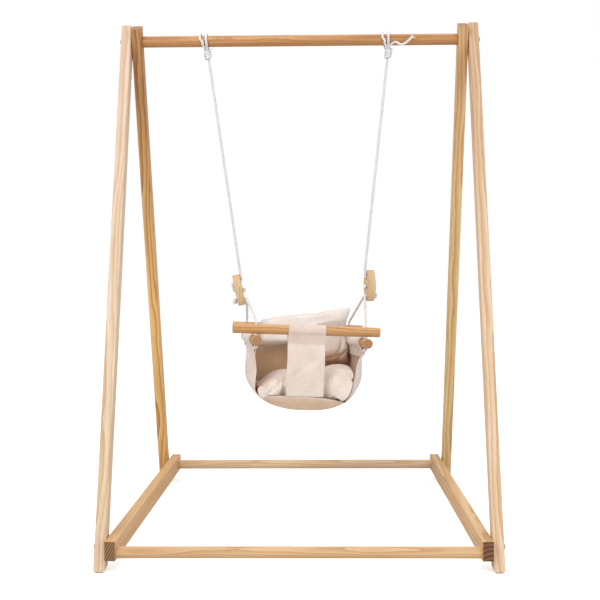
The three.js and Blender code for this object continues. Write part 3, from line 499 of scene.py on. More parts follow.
def add_fasteners():
    """Bolts at the beam and at both ends of the rails, washers at the beam, and spacers at the rails."""
    steel, white = zinc_steel(), moulded_nylon()
    for hand, sign in HANDS:
        for name, y, z in (
            ("beam_bolt", 0, BEAM_HEIGHT), ("front_bolt", -FOOT_BOLT_Y, RAIL_HEIGHT),
            ("rear_bolt", FOOT_BOLT_Y, RAIL_HEIGHT),
        ):
            node = f"{hand}_{name}"
            tip, reach = sorted(abs(corner.x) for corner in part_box(node))
            bolt = dome_bolt(node + "_domed", reach - 0.005, tip, sign, y, z)
            finish_piece(bolt, steel, body_of(node), node, slot="steel")
        for name, y, z in (("beam_washer", 0, BEAM_HEIGHT), ("rear_spacer", FOOT_BOLT_Y, RAIL_HEIGHT)):
            node = f"{hand}_{name}"
            start, end = (Vector((corner.x, y, z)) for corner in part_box(node))
            run = Vector((0.02, 0, 0))
            bore = (start - run, end + run, 0.0044)
            ring = dowel(node + "_ring", 0.011, start, end, 0.0004, holes=[bore])
            finish_piece(ring, white, body_of(node), node, slot="nylon")


def body_of(node):
    """The body that carries a CAD node."""
    bodies = frame["record"]["behaviour"]["bodies"]
    return next(body for body, nodes in bodies.items() if node in nodes)


def add_foot_pads():
    felt = pressed_felt()
    for node in [f"{hand}_{end}_foot_pad" for hand, _ in HANDS for end in ("front", "rear")]:
        low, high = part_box(node)
        deselect()
        bpy.ops.mesh.primitive_cube_add(size=1, location=(low + high) / 2, scale=high - low)
        pad = named(node + "_felt")
        bpy.ops.object.transform_apply(location=True, scale=True)
        bevel_edges(pad, lambda a, b: abs(a.z - b.z) > 0.001, offset=0.004, segments=5)
        ease_corners(pad, 0.0005, 2, 50)
        apply_modifiers(pad)
        finish_piece(pad, felt, body_of(node), node, slot="felt")


def run_lengths(points):
    """The distance along a line at each of its points."""
    return np.concatenate([[0], np.cumsum(np.linalg.norm(np.diff(points, axis=0), axis=1))])


def spaced(points, count):
    """The same line with count points in even steps, as an array, and their distances along it."""
    lengths = run_lengths(points)
    places = np.linspace(0, lengths[-1], count)
    line = np.column_stack([np.interp(places, lengths, column) for column in points.T])
    return line, places


def evened(points, step):
    """The same line with its points one step apart, as an array."""
    points = np.array([tuple(p) for p in points])
    return spaced(points, max(3, round(run_lengths(points)[-1] / step) + 1))[0]


def cornered(corners, bend):
    """Straight runs between corners, each corner rounded."""
    corners = [Vector(c) for c in corners]
    points = [corners[0]]
    for before, corner, after in zip(corners, corners[1:], corners[2:]):
        back, ahead = before - corner, after - corner
        turn = math.pi - back.angle(ahead)
        trim = min(bend * math.tan(turn / 2), back.length * 0.49, ahead.length * 0.49)
        start, end = corner + back.normalized() * trim, corner + ahead.normalized() * trim
        for i in range(9):
            t = i / 8
            points.append(start * (1 - t) ** 2 + corner * 2 * t * (1 - t) + end * t * t)
    return points + [corners[-1]]


def through(corners, per_span=12):
    """A smooth line through all the corners (centripetal Catmull-Rom)."""
    corners = [np.array(tuple(c), dtype=float) for c in corners]
    corners = [2 * corners[0] - corners[1]] + corners + [2 * corners[-1] - corners[-2]]
    points = []
    for p0, p1, p2, p3 in zip(corners, corners[1:], corners[2:], corners[3:]):
        t0, gaps = 0.0, [max(np.linalg.norm(b - a), 1e-9) ** 0.5 for a, b in ((p0, p1), (p1, p2), (p2, p3))]
        t1, t2, t3 = gaps[0], gaps[0] + gaps[1], sum(gaps)
        for t in np.linspace(t1, t2, per_span, endpoint=False):
            a1 = p0 + (p1 - p0) * (t - t0) / (t1 - t0)
            a2 = p1 + (p2 - p1) * (t - t1) / (t2 - t1)
            a3 = p2 + (p3 - p2) * (t - t2) / (t3 - t2)
            b1 = a1 + (a2 - a1) * (t - t0) / (t2 - t0)
            b2 = a2 + (a3 - a2) * (t - t1) / (t3 - t1)
            points.append(b1 + (b2 - b1) * (t - t1) / (t2 - t1))
    return points + [corners[-2]]


def turned_frames(points):
    """For each point, two directions square to the line that don't twist along it."""
    ahead = np.gradient(points, axis=0)
    ahead /= np.linalg.norm(ahead, axis=1)[:, None]
    side = np.cross(ahead[0], (0, 0, 1) if abs(ahead[0][2]) < 0.9 else (1, 0, 0))
    sides = []
    for direction in ahead:
        side = side - direction * np.dot(side, direction)
        side = side / np.linalg.norm(side)
        sides.append(side)
    sides = np.array(sides)
    return sides, np.cross(ahead, sides)


def skinned(name, grids):
    """One mesh out of grids of (points, uv, wrap). With wrap the last column joins the first."""
    corners, faces, coords = [], [], []
    for points, uv, wrap in grids:
        rows, columns = points.shape[:2]
        first = len(corners)
        corners.extend(points.reshape(-1, 3).tolist())
        for i in range(rows - 1):
            for j in range(columns if wrap else columns - 1):
                right = (j + 1) % columns
                a, b = first + i * columns, first + (i + 1) * columns
                faces.append((a + j, a + right, b + right, b + j))
                coords.extend((uv[i][j], uv[i][j + 1], uv[i + 1][j + 1], uv[i + 1][j]))
    mesh = bpy.data.meshes.new(name)
    mesh.from_pydata(corners, [], faces)
    layer = mesh.uv_layers.new(name="cloth")
    layer.data.foreach_set("uv", np.array(coords, dtype=np.float32).ravel())
    mesh.validate()
    piece = bpy.data.objects.new(name, mesh)
    bpy.context.scene.collection.objects.link(piece)
    return piece


def closed_up(piece):
    """Merges the poles of a closed shape and turns its faces outwards."""
    mesh = bmesh.new()
    mesh.from_mesh(piece.data)
    bmesh.ops.remove_doubles(mesh, verts=mesh.verts, dist=1e-6)
    bmesh.ops.recalc_face_normals(mesh, faces=mesh.faces)
    for face in mesh.faces:
        face.smooth = True
    mesh.to_mesh(piece.data)
    mesh.free()
    return piece


# Rope: three strands laid together, one full turn in 22 mm
STRAND_RADIUS = 0.0024
STRAND_OFFSET = 0.0016
STRAND_STEP = 0.0028
STRAND_SIDES = 8
ROPE_LAY = 0.022


def strands(line, thin=1.0, untwist=0.0):
    """The three strands of a rope along a line, as grids. Their ends close to a point."""
    points = evened(line, STRAND_STEP)
    side, other = turned_frames(points)
    length = np.arange(len(points)) * STRAND_STEP
    angles = 2 * math.pi * np.arange(STRAND_SIDES) / STRAND_SIDES
    closing = np.ones(len(points))
    closing[0] = closing[-1] = 0.0
    closing[1] = closing[-2] = 0.85
    spread = 1 + untwist * np.linspace(0, 1, len(points)) ** 3
    radius = (STRAND_RADIUS * thin * closing)[:, None]
    across = np.linspace(0, 2 * math.pi * STRAND_RADIUS, STRAND_SIDES + 1)
    uv = np.stack(np.meshgrid(across, length), axis=-1)
    grids = []
    for number in range(3):
        phase = 2 * math.pi * (length / ROPE_LAY + number / 3)
        outward = side * np.cos(phase)[:, None] + other * np.sin(phase)[:, None]
        round_it = other * np.cos(phase)[:, None] - side * np.sin(phase)[:, None]
        middle = points + outward * (STRAND_OFFSET * thin * spread)[:, None]
        rings = (
            middle[:, None, :]
            + outward[:, None, :] * (radius * np.cos(angles))[:, :, None]
            + round_it[:, None, :] * (1.1 * radius * np.sin(angles))[:, :, None]
        )
        grids.append((rings, uv, True))
    return grids


def wraps(middle, axis, radius, height, turns, phase=0.0, lean=0.0):
    """A line that winds round a core and tucks its two ends under itself: the outside of a tight knot."""
    middle, axis = Vector(middle), Vector(axis).normalized()
    side = axis.orthogonal().normalized()
    other = axis.cross(side)
    points = []
    count = round(turns * 20)
    for i in range(count + 1):
        share = i / count
        angle = 2 * math.pi * turns * share + phase
        tuck = min(1, share * turns * 3.2, (1 - share) * turns * 3.2)
        reach = radius * (0.3 + 0.7 * math.sin(tuck * math.pi / 2)) * (1 + 0.06 * math.sin(3 * angle + phase))
        along = (share - 0.5) * height + lean * radius * math.cos(angle)
        round_it = side * reach * math.cos(angle) + other * reach * math.sin(angle)
        points.append(middle + round_it + axis * along)
    return points


def beam_turns(x, drop, turns):
    """Two turns round the beam, from the knot and back to it, 0.6 mm clear of the wood."""
    radius = BEAM_RADIUS + ROPE_RADIUS + 0.0006
    start = BEAM_HEIGHT - drop + 0.037 / 6
    points = [(x, 0, start)]
    for number, turn_x in enumerate(turns):
        lean = (x - turn_x) * 0.35
        for angle in range(-30, 211, 20):
            turn = math.radians(angle)
            shift = lean if angle < 0 or angle > 180 else 0
            points.append((turn_x + shift, -radius * math.cos(turn), BEAM_HEIGHT + radius * math.sin(turn)))
        points.append((x + (0.001 if number else -0.001), 0, start))
    return points


def rope_piece(name, runs, material, node):
    """One rope out of its runs, which stands for a CAD rope."""
    piece = closed_up(skinned(name, [grid for run in runs for grid in strands(run)]))
    return finish_piece(piece, material, "swing_seat", node, slot="rope")


# The free ends beyond the knots, in millimetres from the knot
TAILS = {
    "left": [(0, 0, 6), (7, -5, 11), (14, -8, 13)],
    "right": [(0, 0, 10), (7, -16, 23), (20, -26, 28), (35, -27, 21), (50, -26, 27), (66, -26, 42)],
}


def add_hanging_ropes(material):
    """Each rope goes twice round the beam, closes in a knot and runs down through its adjuster."""
    _, middle_hole, _ = ADJUSTER_HOLES
    route = ((1, 0.050), (1, 0.024), (-1, 0.024), (-1, middle_hole), (1.05, middle_hole))
    for hand, sign in HANDS:
        x, drop, turns = KNOTS[hand]
        place = ADJUSTERS[hand]
        knot = Vector((x, 0, BEAM_HEIGHT - drop))
        weave = [place @ Vector((-sign * out * ROPE_OFF_FACE, 0, up)) for out, up in route]
        plate_axis = place.to_3x3() @ Vector((1, 0, 0))
        stopper = place @ Vector((-sign * (ROPE_OFF_FACE + 0.0005), 0, middle_hole))
        tail = evened(through([knot + Vector(p) / 1000 for p in TAILS[hand]]), 0.003)
        runs = [
            through(beam_turns(x, drop, turns), 5),
            wraps(knot, (0.12 * sign, 0.1, 1), 0.0078, 0.026, 3.2, 0.6, 0.35),
            wraps(knot - Vector((0, 0, 0.003)), (0.35 * sign, 0, 1), 0.0062, 0.015, 1.6, 2.4, -0.5),
            cornered([knot + Vector((0, 0, 0.008)), *weave], 0.006),
            wraps(stopper, plate_axis, 0.0034, 0.0035, 1.4, 0.4, 0.25),
        ]
        if hand == "left":
            runs.append(tail)
        rope_piece(hand + "_hanging_rope_laid", runs, material, hand + "_hanging_rope")
        if hand == "right":
            add_loose_tail(tail, material)
        else:
            add_fray("left_tail_fray", tail, material, 0.005, 12)


def add_loose_tail(tail, material):
    """The long tail on the right stands out in front of the beam, and its end has come undone."""
    piece = closed_up(skinned("right_rope_tail", strands(tail, 0.85, untwist=0.5)))
    finish_piece(piece, material, "swing_seat", slot="rope")
    fray = add_fray("right_tail_fray", tail, material, 0.013, 26)


def yarn(points, thickness):
    """A five-sided yarn along a line, pointed at both ends, as a grid."""
    side, other = turned_frames(points)
    angles = 2 * math.pi * np.arange(5) / 5
    closing = thickness * np.concatenate([[0], np.ones(len(points) - 2), [0]])
    rings = points[:, None, :] + (
        side[:, None, :] * np.cos(angles)[None, :, None] + other[:, None, :] * np.sin(angles)[None, :, None]
    ) * closing[:, None, None]
    uv = np.stack(np.meshgrid(np.linspace(0, 0.003, 6), np.arange(len(points)) * 0.002), axis=-1)
    return rings, uv, True


def add_fray(name, tail, material, length, count):
    """Loose yarns that spread from the end of a tail."""
    end, ahead = Vector(tail[-1]), Vector(tail[-1] - tail[-3]).normalized()
    side = ahead.orthogonal().normalized()
    other = ahead.cross(side)
    grids = []
    for number in range(count):
        angle = number * 2.4
        spread = 0.15 + 0.55 * (number / count) ** 0.7
        out = side * math.cos(angle) + other * math.sin(angle)
        start = end - ahead * 0.004 + out * 0.0022 * (number / count) ** 0.5
        reach = length * (0.75 + 0.25 * math.sin(number * 1.7))
        line = [
            start + ahead * reach * t + out * spread * reach * t * t + Vector((0, 0, -0.3 * reach * t**3))
            for t in np.linspace(0, 1, 7)
        ]
        grids.append(yarn(evened(line, length / 7), 0.00042))
    return finish_piece(closed_up(skinned(name, grids)), material, "swing_seat", slot="rope")


def add_sling_ropes(material):
    """Out of the adjuster's lowest hole, down in two strands, through the bars, with a knot under each."""
    *_, low_hole = ADJUSTER_HOLES
    down = SEAT.to_3x3() @ Vector((0, 0, 1))
    for hand, sign in HANDS:
        place = ADJUSTERS[hand]
        plate_axis = place.to_3x3() @ Vector((1, 0, 0))
        inward = -sign * ROPE_OFF_FACE
        in_hole = place @ Vector((-inward * 0.7, 0, low_hole))
        outer = place @ Vector((sign * 0.0173, 0, low_hole))
        runs = [wraps(outer, plate_axis, 0.0048, 0.0075, 2.0, 1.2, 0.25)]
        for side in (-1, 1):
            spot = Vector((sign * SIDE_BAR_X, side * CROSS_BAR_Y, 0))
            mouth = place @ Vector((inward * 1.15, side * 0.0012, low_hole))
            heights = (CROSS_BAR_Z + CROSS_BAR_RADIUS + 0.008, 0.0155, -0.0192, -0.0255)
            top, gap, stopper, end = (SEAT @ (spot + Vector((0, 0, z))) for z in heights)
            runs.append(cornered([in_hole, mouth, top, end], 0.009))
            runs.append(wraps(stopper, down, 0.0037, 0.0045, 1.6, 0.8 + side, 0.3))
            runs.append(wraps(gap, down, 0.0034, 0.001, 1.2, side))
        rope_piece(hand + "_sling_rope_laid", runs, material, hand + "_sling_rope")


# The soft seat: the same forms as the source's, in millimetres in the seat's own frame
SHELL_HALF, SHELL_DEPTH, SHELL_POWER = 155.3, 160, 2.8
SHELL_FRONT, SHELL_REAR, SLEEVE_DROP = -112, 118, 34
# The front lip: how far it rises and stands forward, its middle and half width, its share of the seat's depth
LIP_RISE, LIP_FORWARD, LIP_MIDDLE, LIP_HALF, LIP_SHARE, LIP_POWER = 40, 14, -12, 106, 0.15, 1.6
CANVAS = 2.4
BACK_LEFT, BACK_WIDTH = -133, 278


def unit(values):
    """Values kept between 0 and 1."""
    return np.clip(values, 0, 1)


def drop_share(z):
    """How far below the sleeves, as a share of the seat's height without limits."""
    return (-SLEEVE_DROP - z) / SHELL_DEPTH


def depth_share(y):
    """How far behind the front edge, as a share of the seat's depth from 0 to 1."""
    return unit((y - SHELL_FRONT) / (SHELL_REAR - SHELL_FRONT))


def wall_x(share, along):
    """The seat wall's half width at a share of its height and of its depth."""
    bulge = 15 * np.sin(math.pi * along) - 7 * np.maximum(0, 1 - along / 0.3)
    share = unit(share)
    return SHELL_HALF * (1 - share**SHELL_POWER) ** (1 / SHELL_POWER) + bulge * 4 * share * (1 - share)


def front_ease(share, along, side):
    """The front edge has been pushed outwards low down by the cushion, far more on the left."""
    left = np.interp(share, [0, 0.3, 0.38, 0.54, 0.65, 0.8, 0.9, 0.97, 1], [0, 1, 4, 13, 20, 20, 13, 5, 0])
    right = np.interp(share, [0, 0.5, 0.65, 0.85, 1], [0, 1, 4, 4, 0])
    return np.where(side < 0, left, right) * unit(1 - along / 0.45) ** 1.5


def turned_in(share, along, side):
    """The front edge of the right wall is turned in towards the seat."""
    amount = np.interp(share, [0, 0.06, 0.2, 0.55, 0.8, 0.93], [0, 9, 14, 12, 7, 0])
    return np.where(side > 0, amount, 0) * unit(1 - along / 0.1) ** 1.2


def hang_z(x, y):
    """How high the seat's outside hangs at x and y."""
    x, y = np.abs(np.asarray(x, float)), np.asarray(y, float)
    along = depth_share(y)
    low, high = np.full(np.broadcast(x, y).shape, 0.25), np.ones(np.broadcast(x, y).shape)
    for _ in range(24):
        middle = (low + high) / 2
        inside = wall_x(middle, along) > x
        low, high = np.where(inside, middle, low), np.where(inside, high, middle)
    return -SLEEVE_DROP - SHELL_DEPTH * low


def rear_rise(y):
    """The seat's rear edge climbs towards the panel."""
    return 16 * np.maximum(0, (np.asarray(y, float) - 45) / (SHELL_REAR - 45)) ** 2


def shell_points(u, along):
    """The seat's outside at u, 0 at the left sleeve and 1 at the right one, and at a share of its depth."""
    angle = math.pi * (1 - u)
    share = np.sin(angle) ** (2 / SHELL_POWER)
    middle = np.maximum(0, 1 - ((np.cos(angle) * SHELL_HALF - LIP_MIDDLE) / LIP_HALF) ** 2)
    risen = np.where(share > 0.7, middle, 0)
    front = SHELL_FRONT - LIP_FORWARD * risen
    y = front + (SHELL_REAR - front) * along
    side = np.sign(np.cos(angle))
    x = side * (wall_x(share, along) + front_ease(share, along, side) - turned_in(share, along, side))
    lip = LIP_RISE * risen * np.maximum(0, 1 - along / LIP_SHARE) ** LIP_POWER
    z = -SLEEVE_DROP - SHELL_DEPTH * share + lip + rear_rise(y) * np.minimum(1, share * 1.4)
    # The rear edges of the walls are turned in behind the panel
    hem = unit((along - 0.965) / 0.035) * unit((0.85 - share) / 0.2) * np.minimum(1, share / 0.06)
    return np.stack([x - side * 6 * hem**2, y + 4 * hem, z], axis=-1)


def back_top(x):
    """The top outline of the back, which is the cushion's; the panel ends a little lower."""
    share = unit((np.asarray(x, float) - BACK_LEFT) / BACK_WIDTH)
    return 45 + 55 * share**0.8


def panel_lean(x, z):
    """How far the back leans out to the rear at x and z, more on the right."""
    slant = 0.25 + 0.65 * (np.asarray(x, float) - BACK_LEFT) / BACK_WIDTH
    above = np.maximum(0, np.asarray(z, float) - 12)
    return slant * above * above / (above + 12)


def panel_half(z):
    """The panel fills the seat from wall to wall below the sleeves, and passes between them above."""
    share = unit(drop_share(z))
    share = share + 0.1 * np.minimum(1, 1.4 * share)
    low = np.minimum(152.2, wall_x(share, 1) - 2.6 - 2.2 * share)
    rise = unit((z + 31) / 16)
    return low + (138.5 - low) * rise * rise * (3 - 2 * rise)


def panel_points(u, v):
    """The back panel at u from left to right and v from its foot to its top."""
    top_x, side = -127 + 266 * u, 2 * u - 1
    foot = hang_z(149 * side, SHELL_REAR) + 17
    z = foot + (back_top(top_x) - 8 - foot) * v
    # The threads spread at the foot, which follows the seat's curve from wall to wall
    room = panel_half(foot)
    spread = np.clip(149 * side, -room, room) - room * side
    x = panel_half(z) * side + spread * (1 - v) ** 2
    x = x + (top_x - x) * np.maximum(0, 2 * v - 1)
    return np.stack([x, SHELL_REAR - 2 - panel_lean(x, z), z], axis=-1)


def folds(points, scale, seed, stretch=(1, 1, 1)):
    """Soft noise from -1 to 1 over an array of points."""
    flat = points.reshape(-1, 3) * np.array(stretch) / scale + seed
    values = np.array([noise.noise(Vector(p)) for p in flat])
    return values.reshape(points.shape[:-1])


def grid_normals(points):
    """The direction square to a grid of points, at each of them."""
    across = np.gradient(points, axis=0)
    along = np.gradient(points, axis=1)
    normal = np.cross(across, along)
    return normal / np.maximum(np.linalg.norm(normal, axis=-1), 1e-9)[..., None]


def lengths_along(points, axis):
    """The mean distance along the rows or the columns of a grid, from its start."""
    steps = np.linalg.norm(np.diff(points, axis=axis), axis=-1).mean(axis=1 - axis)
    return np.concatenate([[0], np.cumsum(steps)])


def cloth_grid(points, name, hem):
    """A sheet of canvas round a grid of points in millimetres in the seat's frame, with a round rim.
    The columns in hem are folded over and have the full thickness."""
    rows, columns = points.shape[:2]
    down, across = lengths_along(points, 0) / 1000, lengths_along(points, 1) / 1000
    uv = np.stack(np.meshgrid(across, down), axis=-1)
    world = np.array([tuple(SEAT @ Vector(p)) for p in points.reshape(-1, 3) / 1000])
    piece = skinned(name, [(world.reshape(rows, columns, 3), uv, False)])
    weight = piece.vertex_groups.new(name="thickness")
    for index in range(rows * columns):
        weight.add([index], 1.0 if index % columns in hem else 0.62, "REPLACE")
    solid = piece.modifiers.new("two faces", "SOLIDIFY")
    solid.thickness = CANVAS / 1000
    solid.offset = 0
    solid.vertex_group = "thickness"
    solid.material_offset = 1
    solid.material_offset_rim = 0
    return piece, (float(down[-1]), float(across[-1]))


def hang_sheet(points, node, hem, outside, inside):
    """A sewn sheet of the seat, with its two cloths and what carries it."""
    piece, size = cloth_grid(points, node + "_sewn", hem)
    piece.data.materials.clear()
    piece.data.materials.append(outside)
    piece.data.materials.append(inside)
    apply_modifiers(piece)
    piece.vertex_groups.clear()
    for face in piece.data.polygons:
        face.use_smooth = True
    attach(piece, "swing_seat")
    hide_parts(node)


SLEEVE_COLUMNS = 48


def arc(middle, radius, start, end, count):
    """Points round a middle, from one angle to another in degrees."""
    turns = np.radians(np.linspace(start, end, count))
    return [(middle[0] + radius * math.cos(turn), middle[1] + radius * math.sin(turn)) for turn in turns]


def swept(x, y, z):
    """A grid of points out of coordinates that each run along it, across it or both."""
    return np.stack(np.broadcast_arrays(x, y, z), axis=-1)


def left_sleeve(along):
    """The hem round the left side bar, as a grid from the seam over the bar and down to the seam."""
    loop = arc((-1000 * SIDE_BAR_X, 0), 15.2, -60, 240, 33)
    # The layer that is sewn on at the seam, up the inner side of the bar, over it and down to the seam
    loop = [(-151.9, -41), (-151.8, -34), (-150.6, -25)] + loop + [(-157.0, -24), (-155.4, -33.5)]
    x, z = spaced(np.array(loop), SLEEVE_COLUMNS)[0].T[:, :, None]
    return swept(x, -111 + 222 * along, z)


def pull_folds(middle, inward, along):
    """Pull folds run down from the sleeves, and the cloth is puckered along the seams."""
    depth = unit(drop_share(middle[..., 2]))
    pull = folds(middle, 26, 3.1, (0.1, 1, 0.22)) * (1 - depth) ** 0.7 * np.minimum(1, depth * 5) * 2.6
    broad = folds(middle, 70, 8.4) * 1.8 * np.minimum(1, depth * 3)
    pucker = folds(middle, 9, 5.0, (1, 1, 0.3)) * np.exp(-((depth * SHELL_DEPTH - 6) / 9) ** 2) * 0.7
    calm = unit(np.minimum(along / 0.3, (1 - along) / 0.15))[None, :]
    return inward * (1.3 + (pull + broad) * calm + pucker)[..., None]


def add_canvas_seat(outside, inside):
    """The sling: a sleeve round each side bar and the cloth that hangs between them, with its raised lip."""
    along = np.linspace(0, 1, 91)
    along = 0.5 * along + 0.5 * along**1.25
    left = left_sleeve(along)
    right = left[::-1] * np.array([-1, 1, 1])
    u = np.linspace(0, 1, 181)[1:-1]
    middle = shell_points(u[:, None], along[None, :])
    normal = grid_normals(np.concatenate([left, middle, right], axis=0))
    middle += pull_folds(middle, normal[SLEEVE_COLUMNS:-SLEEVE_COLUMNS], along)
    for edge in (left, right):
        edge[..., 0] += folds(edge, 18, 1.7, (1, 0.6, 1)) * 0.5
    points = np.concatenate([left, middle, right], axis=0)
    hang_sheet(points, "canvas_seat", range(8), outside, inside)


def add_back_panel(outside, inside):
    """The panel behind the back cushion, hemmed along its top."""
    u, v = np.linspace(0, 1, 81), np.linspace(0, 1, 73)
    points = panel_points(u[:, None], v[None, :])
    normal = grid_normals(points)
    wave = folds(points, 55, 12.0) * 1.3 + folds(points, 22, 2.0, (1, 1, 0.3)) * 0.5
    points = points - normal * 1.3 + normal * wave[..., None] * np.sin(math.pi * u)[:, None, None]
    hang_sheet(points, "back_panel", range(65, 73), outside, inside)


def strap_line():
    """The strap in the side view: sewn to itself behind the bar, over it, and down to the lip."""
    y, z = -1000 * CROSS_BAR_Y, 1000 * CROSS_BAR_Z
    line = [(y + 1.6, -15.5), (y + 1.6, -9.5), (y + 2.4, -1.5)]
    line += arc((y, z), 14.9, -52, 232, 40)
    line += [(y - 2.6, -2.5), (y - 1.4, -10.5)]
    low = -SLEEVE_DROP - SHELL_DEPTH + LIP_RISE + 1.6
    start, bend, end = (np.array(p) for p in ((y - 1.4, -10.5), (y - 11, (-10.5 + low) / 2), (-126.0, low)))
    for t in np.linspace(0.08, 1, 30):
        line.append(tuple(start * (1 - t) ** 2 + bend * 2 * t * (1 - t) + end * t * t))
    return np.array(line)


def add_strap(cloth):
    """The strap between the child's legs. Returns its points and normals for the stitches."""
    line, places = spaced(strap_line(), 130)
    across = np.linspace(-52.5, 52.5, 61)
    y, z = line.T[:, :, None]
    points = swept(LIP_MIDDLE + across, y, z)
    band = unit((places - 135) / 40)[:, None]
    normal = grid_normals(points)
    # One long crease runs down from the right, and the edges wave a little
    height = points[..., 2]
    aside = (points[..., 0] - LIP_MIDDLE) * 0.62 - (height + 70) * 0.78
    crease = np.exp(-((aside / 7) ** 2)) * np.exp(-(((height + 72) / 34) ** 2))
    soft = folds(points, 40, 6.0) * 1.4 + folds(points, 16, 9.0, (1, 1, 0.35)) * 0.5
    points -= normal * ((crease * 2.2 + soft * 0.8) * band)[..., None]
    points[..., 0] += folds(points, 45, 15.0) * 1.1 * band * np.sign(across)[None, :]
    hem = (*range(6), *range(55, 61))
    hang_sheet(points, "crotch_strap", hem, cloth, cloth)
    return points, normal


def plump(node, name, cap):
    """A cushion blown up from the CAD solid's form, whose points may move by no more than cap."""
    mesh = frame["nodes"][node].data.copy()
    mesh.materials.clear()
    piece = bpy.data.objects.new(name, mesh)
    bpy.context.scene.collection.objects.link(piece)
    activate(piece)
    bpy.ops.object.mode_set(mode="EDIT")
    bpy.ops.mesh.select_all(action="SELECT")
    bpy.ops.mesh.remove_doubles(threshold=1e-5)
    bpy.ops.object.mode_set(mode="OBJECT")
    middle = sum((v.co for v in mesh.vertices), Vector()) / len(mesh.vertices)
    for corner in mesh.vertices:
        corner.co = middle + (corner.co - middle) * 0.975
    remesh = piece.modifiers.new("even", "REMESH")
    remesh.mode = "VOXEL"
    remesh.voxel_size = 0.005
    apply_modifiers(piece)
    inflate(piece, cap)
    smooth = piece.modifiers.new("smooth", "SUBSURF")
    smooth.levels = smooth.render_levels = 1
    apply_modifiers(piece)
    for face in piece.data.polygons:
        face.use_smooth = True
    return piece


BLOWN_FRAMES = 20


def inflate(piece, cap):
    """Blows the cover up; a point that has gone further than cap is brought back to it."""
    start = [v.co.copy() for v in piece.data.vertices]
    cloth = piece.modifiers.new("stuffing", "CLOTH")
    cover = cloth.settings
    cover.use_pressure = True
    cover.uniform_pressure_force = 4.0
    cover.tension_stiffness = cover.compression_stiffness = 12
    cover.bending_stiffness = 0.6
    cover.effector_weights.gravity = 0
    cloth.point_cache.frame_start, cloth.point_cache.frame_end = 1, BLOWN_FRAMES
    scene = bpy.context.scene
    for number in range(1, BLOWN_FRAMES + 1):
        scene.frame_set(number)
        bpy.context.view_layer.update()
    blown = piece.evaluated_get(bpy.context.evaluated_depsgraph_get())
    moved = [v.co.copy() for v in blown.data.vertices]
    piece.modifiers.remove(cloth)
    scene.frame_set(1)
    for corner, before, after in zip(piece.data.vertices, start, moved):
        step = after - before
        if step.length > cap:
            step *= cap / step.length
        corner.co = before + step


def seat_coords(piece):
    """A piece's corners as an array in millimetres in the seat's frame."""
    back = SEAT.inverted()
    return np.array([tuple(back @ v.co) for v in piece.data.vertices]) * 1000


def set_seat_coords(piece, points):
    """Moves a piece's corners to points in millimetres in the seat's frame."""
    for corner, point in zip(piece.data.vertices, points):
        corner.co = SEAT @ (Vector(point) / 1000)
    piece.data.update()


def corner_normals(piece):
    """The outward directions at a piece's corners in the seat's frame."""
    turn = SEAT.to_3x3().inverted()
    return np.array([tuple(turn @ v.normal) for v in piece.data.vertices])


def against_wall(x, y, z):
    """Spreads the front of the seat cushion to the right until it leans against the wall's turned edge."""
    levels, rows = np.arange(-200, -50, 6), np.array([-130, -115, -100, -80, -50, 0])
    reach = []
    for row in rows:
        near = np.abs(y - row) < 12
        widest = [np.max(x[near & (np.abs(z - level) < 7)], initial=98) for level in levels]
        reach.append(np.interp(z, levels, widest))
    place = np.interp(y, rows, np.arange(len(rows)))
    low = np.minimum(place.astype(int), len(rows) - 2)
    index = np.arange(len(x))
    reach = np.array(reach)
    reach = reach[low, index] + (reach[low + 1, index] - reach[low, index]) * (place - low)
    share = np.clip(drop_share(z), 0, 0.985)
    room = wall_x(share, 0.05) - turned_in(share, 0, 1) - 4.5
    stretch = unit((x - 55) / (reach - 55))
    return x + (room - reach) * stretch * unit((30 - y) / 60)


def slumped(x, y, z):
    """The seat cushion with its filling gone to the right and its front hanging over the canvas edge."""
    # The top slopes down to the left
    crown = np.interp(x, [-145, -118, -90, -63, 0, 47, 75], [-46, -30, -20, -13, -9, -5, 0])
    crown = crown + np.interp(x, [60, 118, 141], [0, 22, 34]) * unit((45 - y) / 60)
    z += crown * unit((z + 126) / 24)
    # On both sides of the strap it swells forwards over the canvas edge and hangs down in front of it
    x -= 15 * unit((-84 - x) / 40) * unit((-30 - y) / 50) * unit((-96 - z) / 20)
    patch = np.interp(x, [-84, -68, 50, 66], [1, 0, 0, 1])
    lower = unit((-80 - z) / 30)
    ahead = unit((-88 - y) / 24)
    y -= 14 * patch * ahead * (0.35 + 0.65 * lower)
    over = unit((edge_y(x) + 1 - y) / 8) * patch
    x += np.where(x < 0, -10, 0) * over * lower * unit((np.abs(x) - 66) / 50)
    z -= np.where(x < 0, 11, 14) * over * lower
    return np.stack([against_wall(x, y, z), y, z], axis=1)


def on_canvas(points):
    """Lifts the corners that are inside the seat on to its inner face."""
    x, y, z = points.T
    share = unit(drop_share(z))
    along = depth_share(y)
    eased = np.maximum(0, np.abs(x) - front_ease(share, along, x))
    floor = canvas_top(np.sign(x) * eased, y) + 0.8
    points[:, 2] = np.where(y > edge_y(x) - CANVAS, np.maximum(z, floor), z)


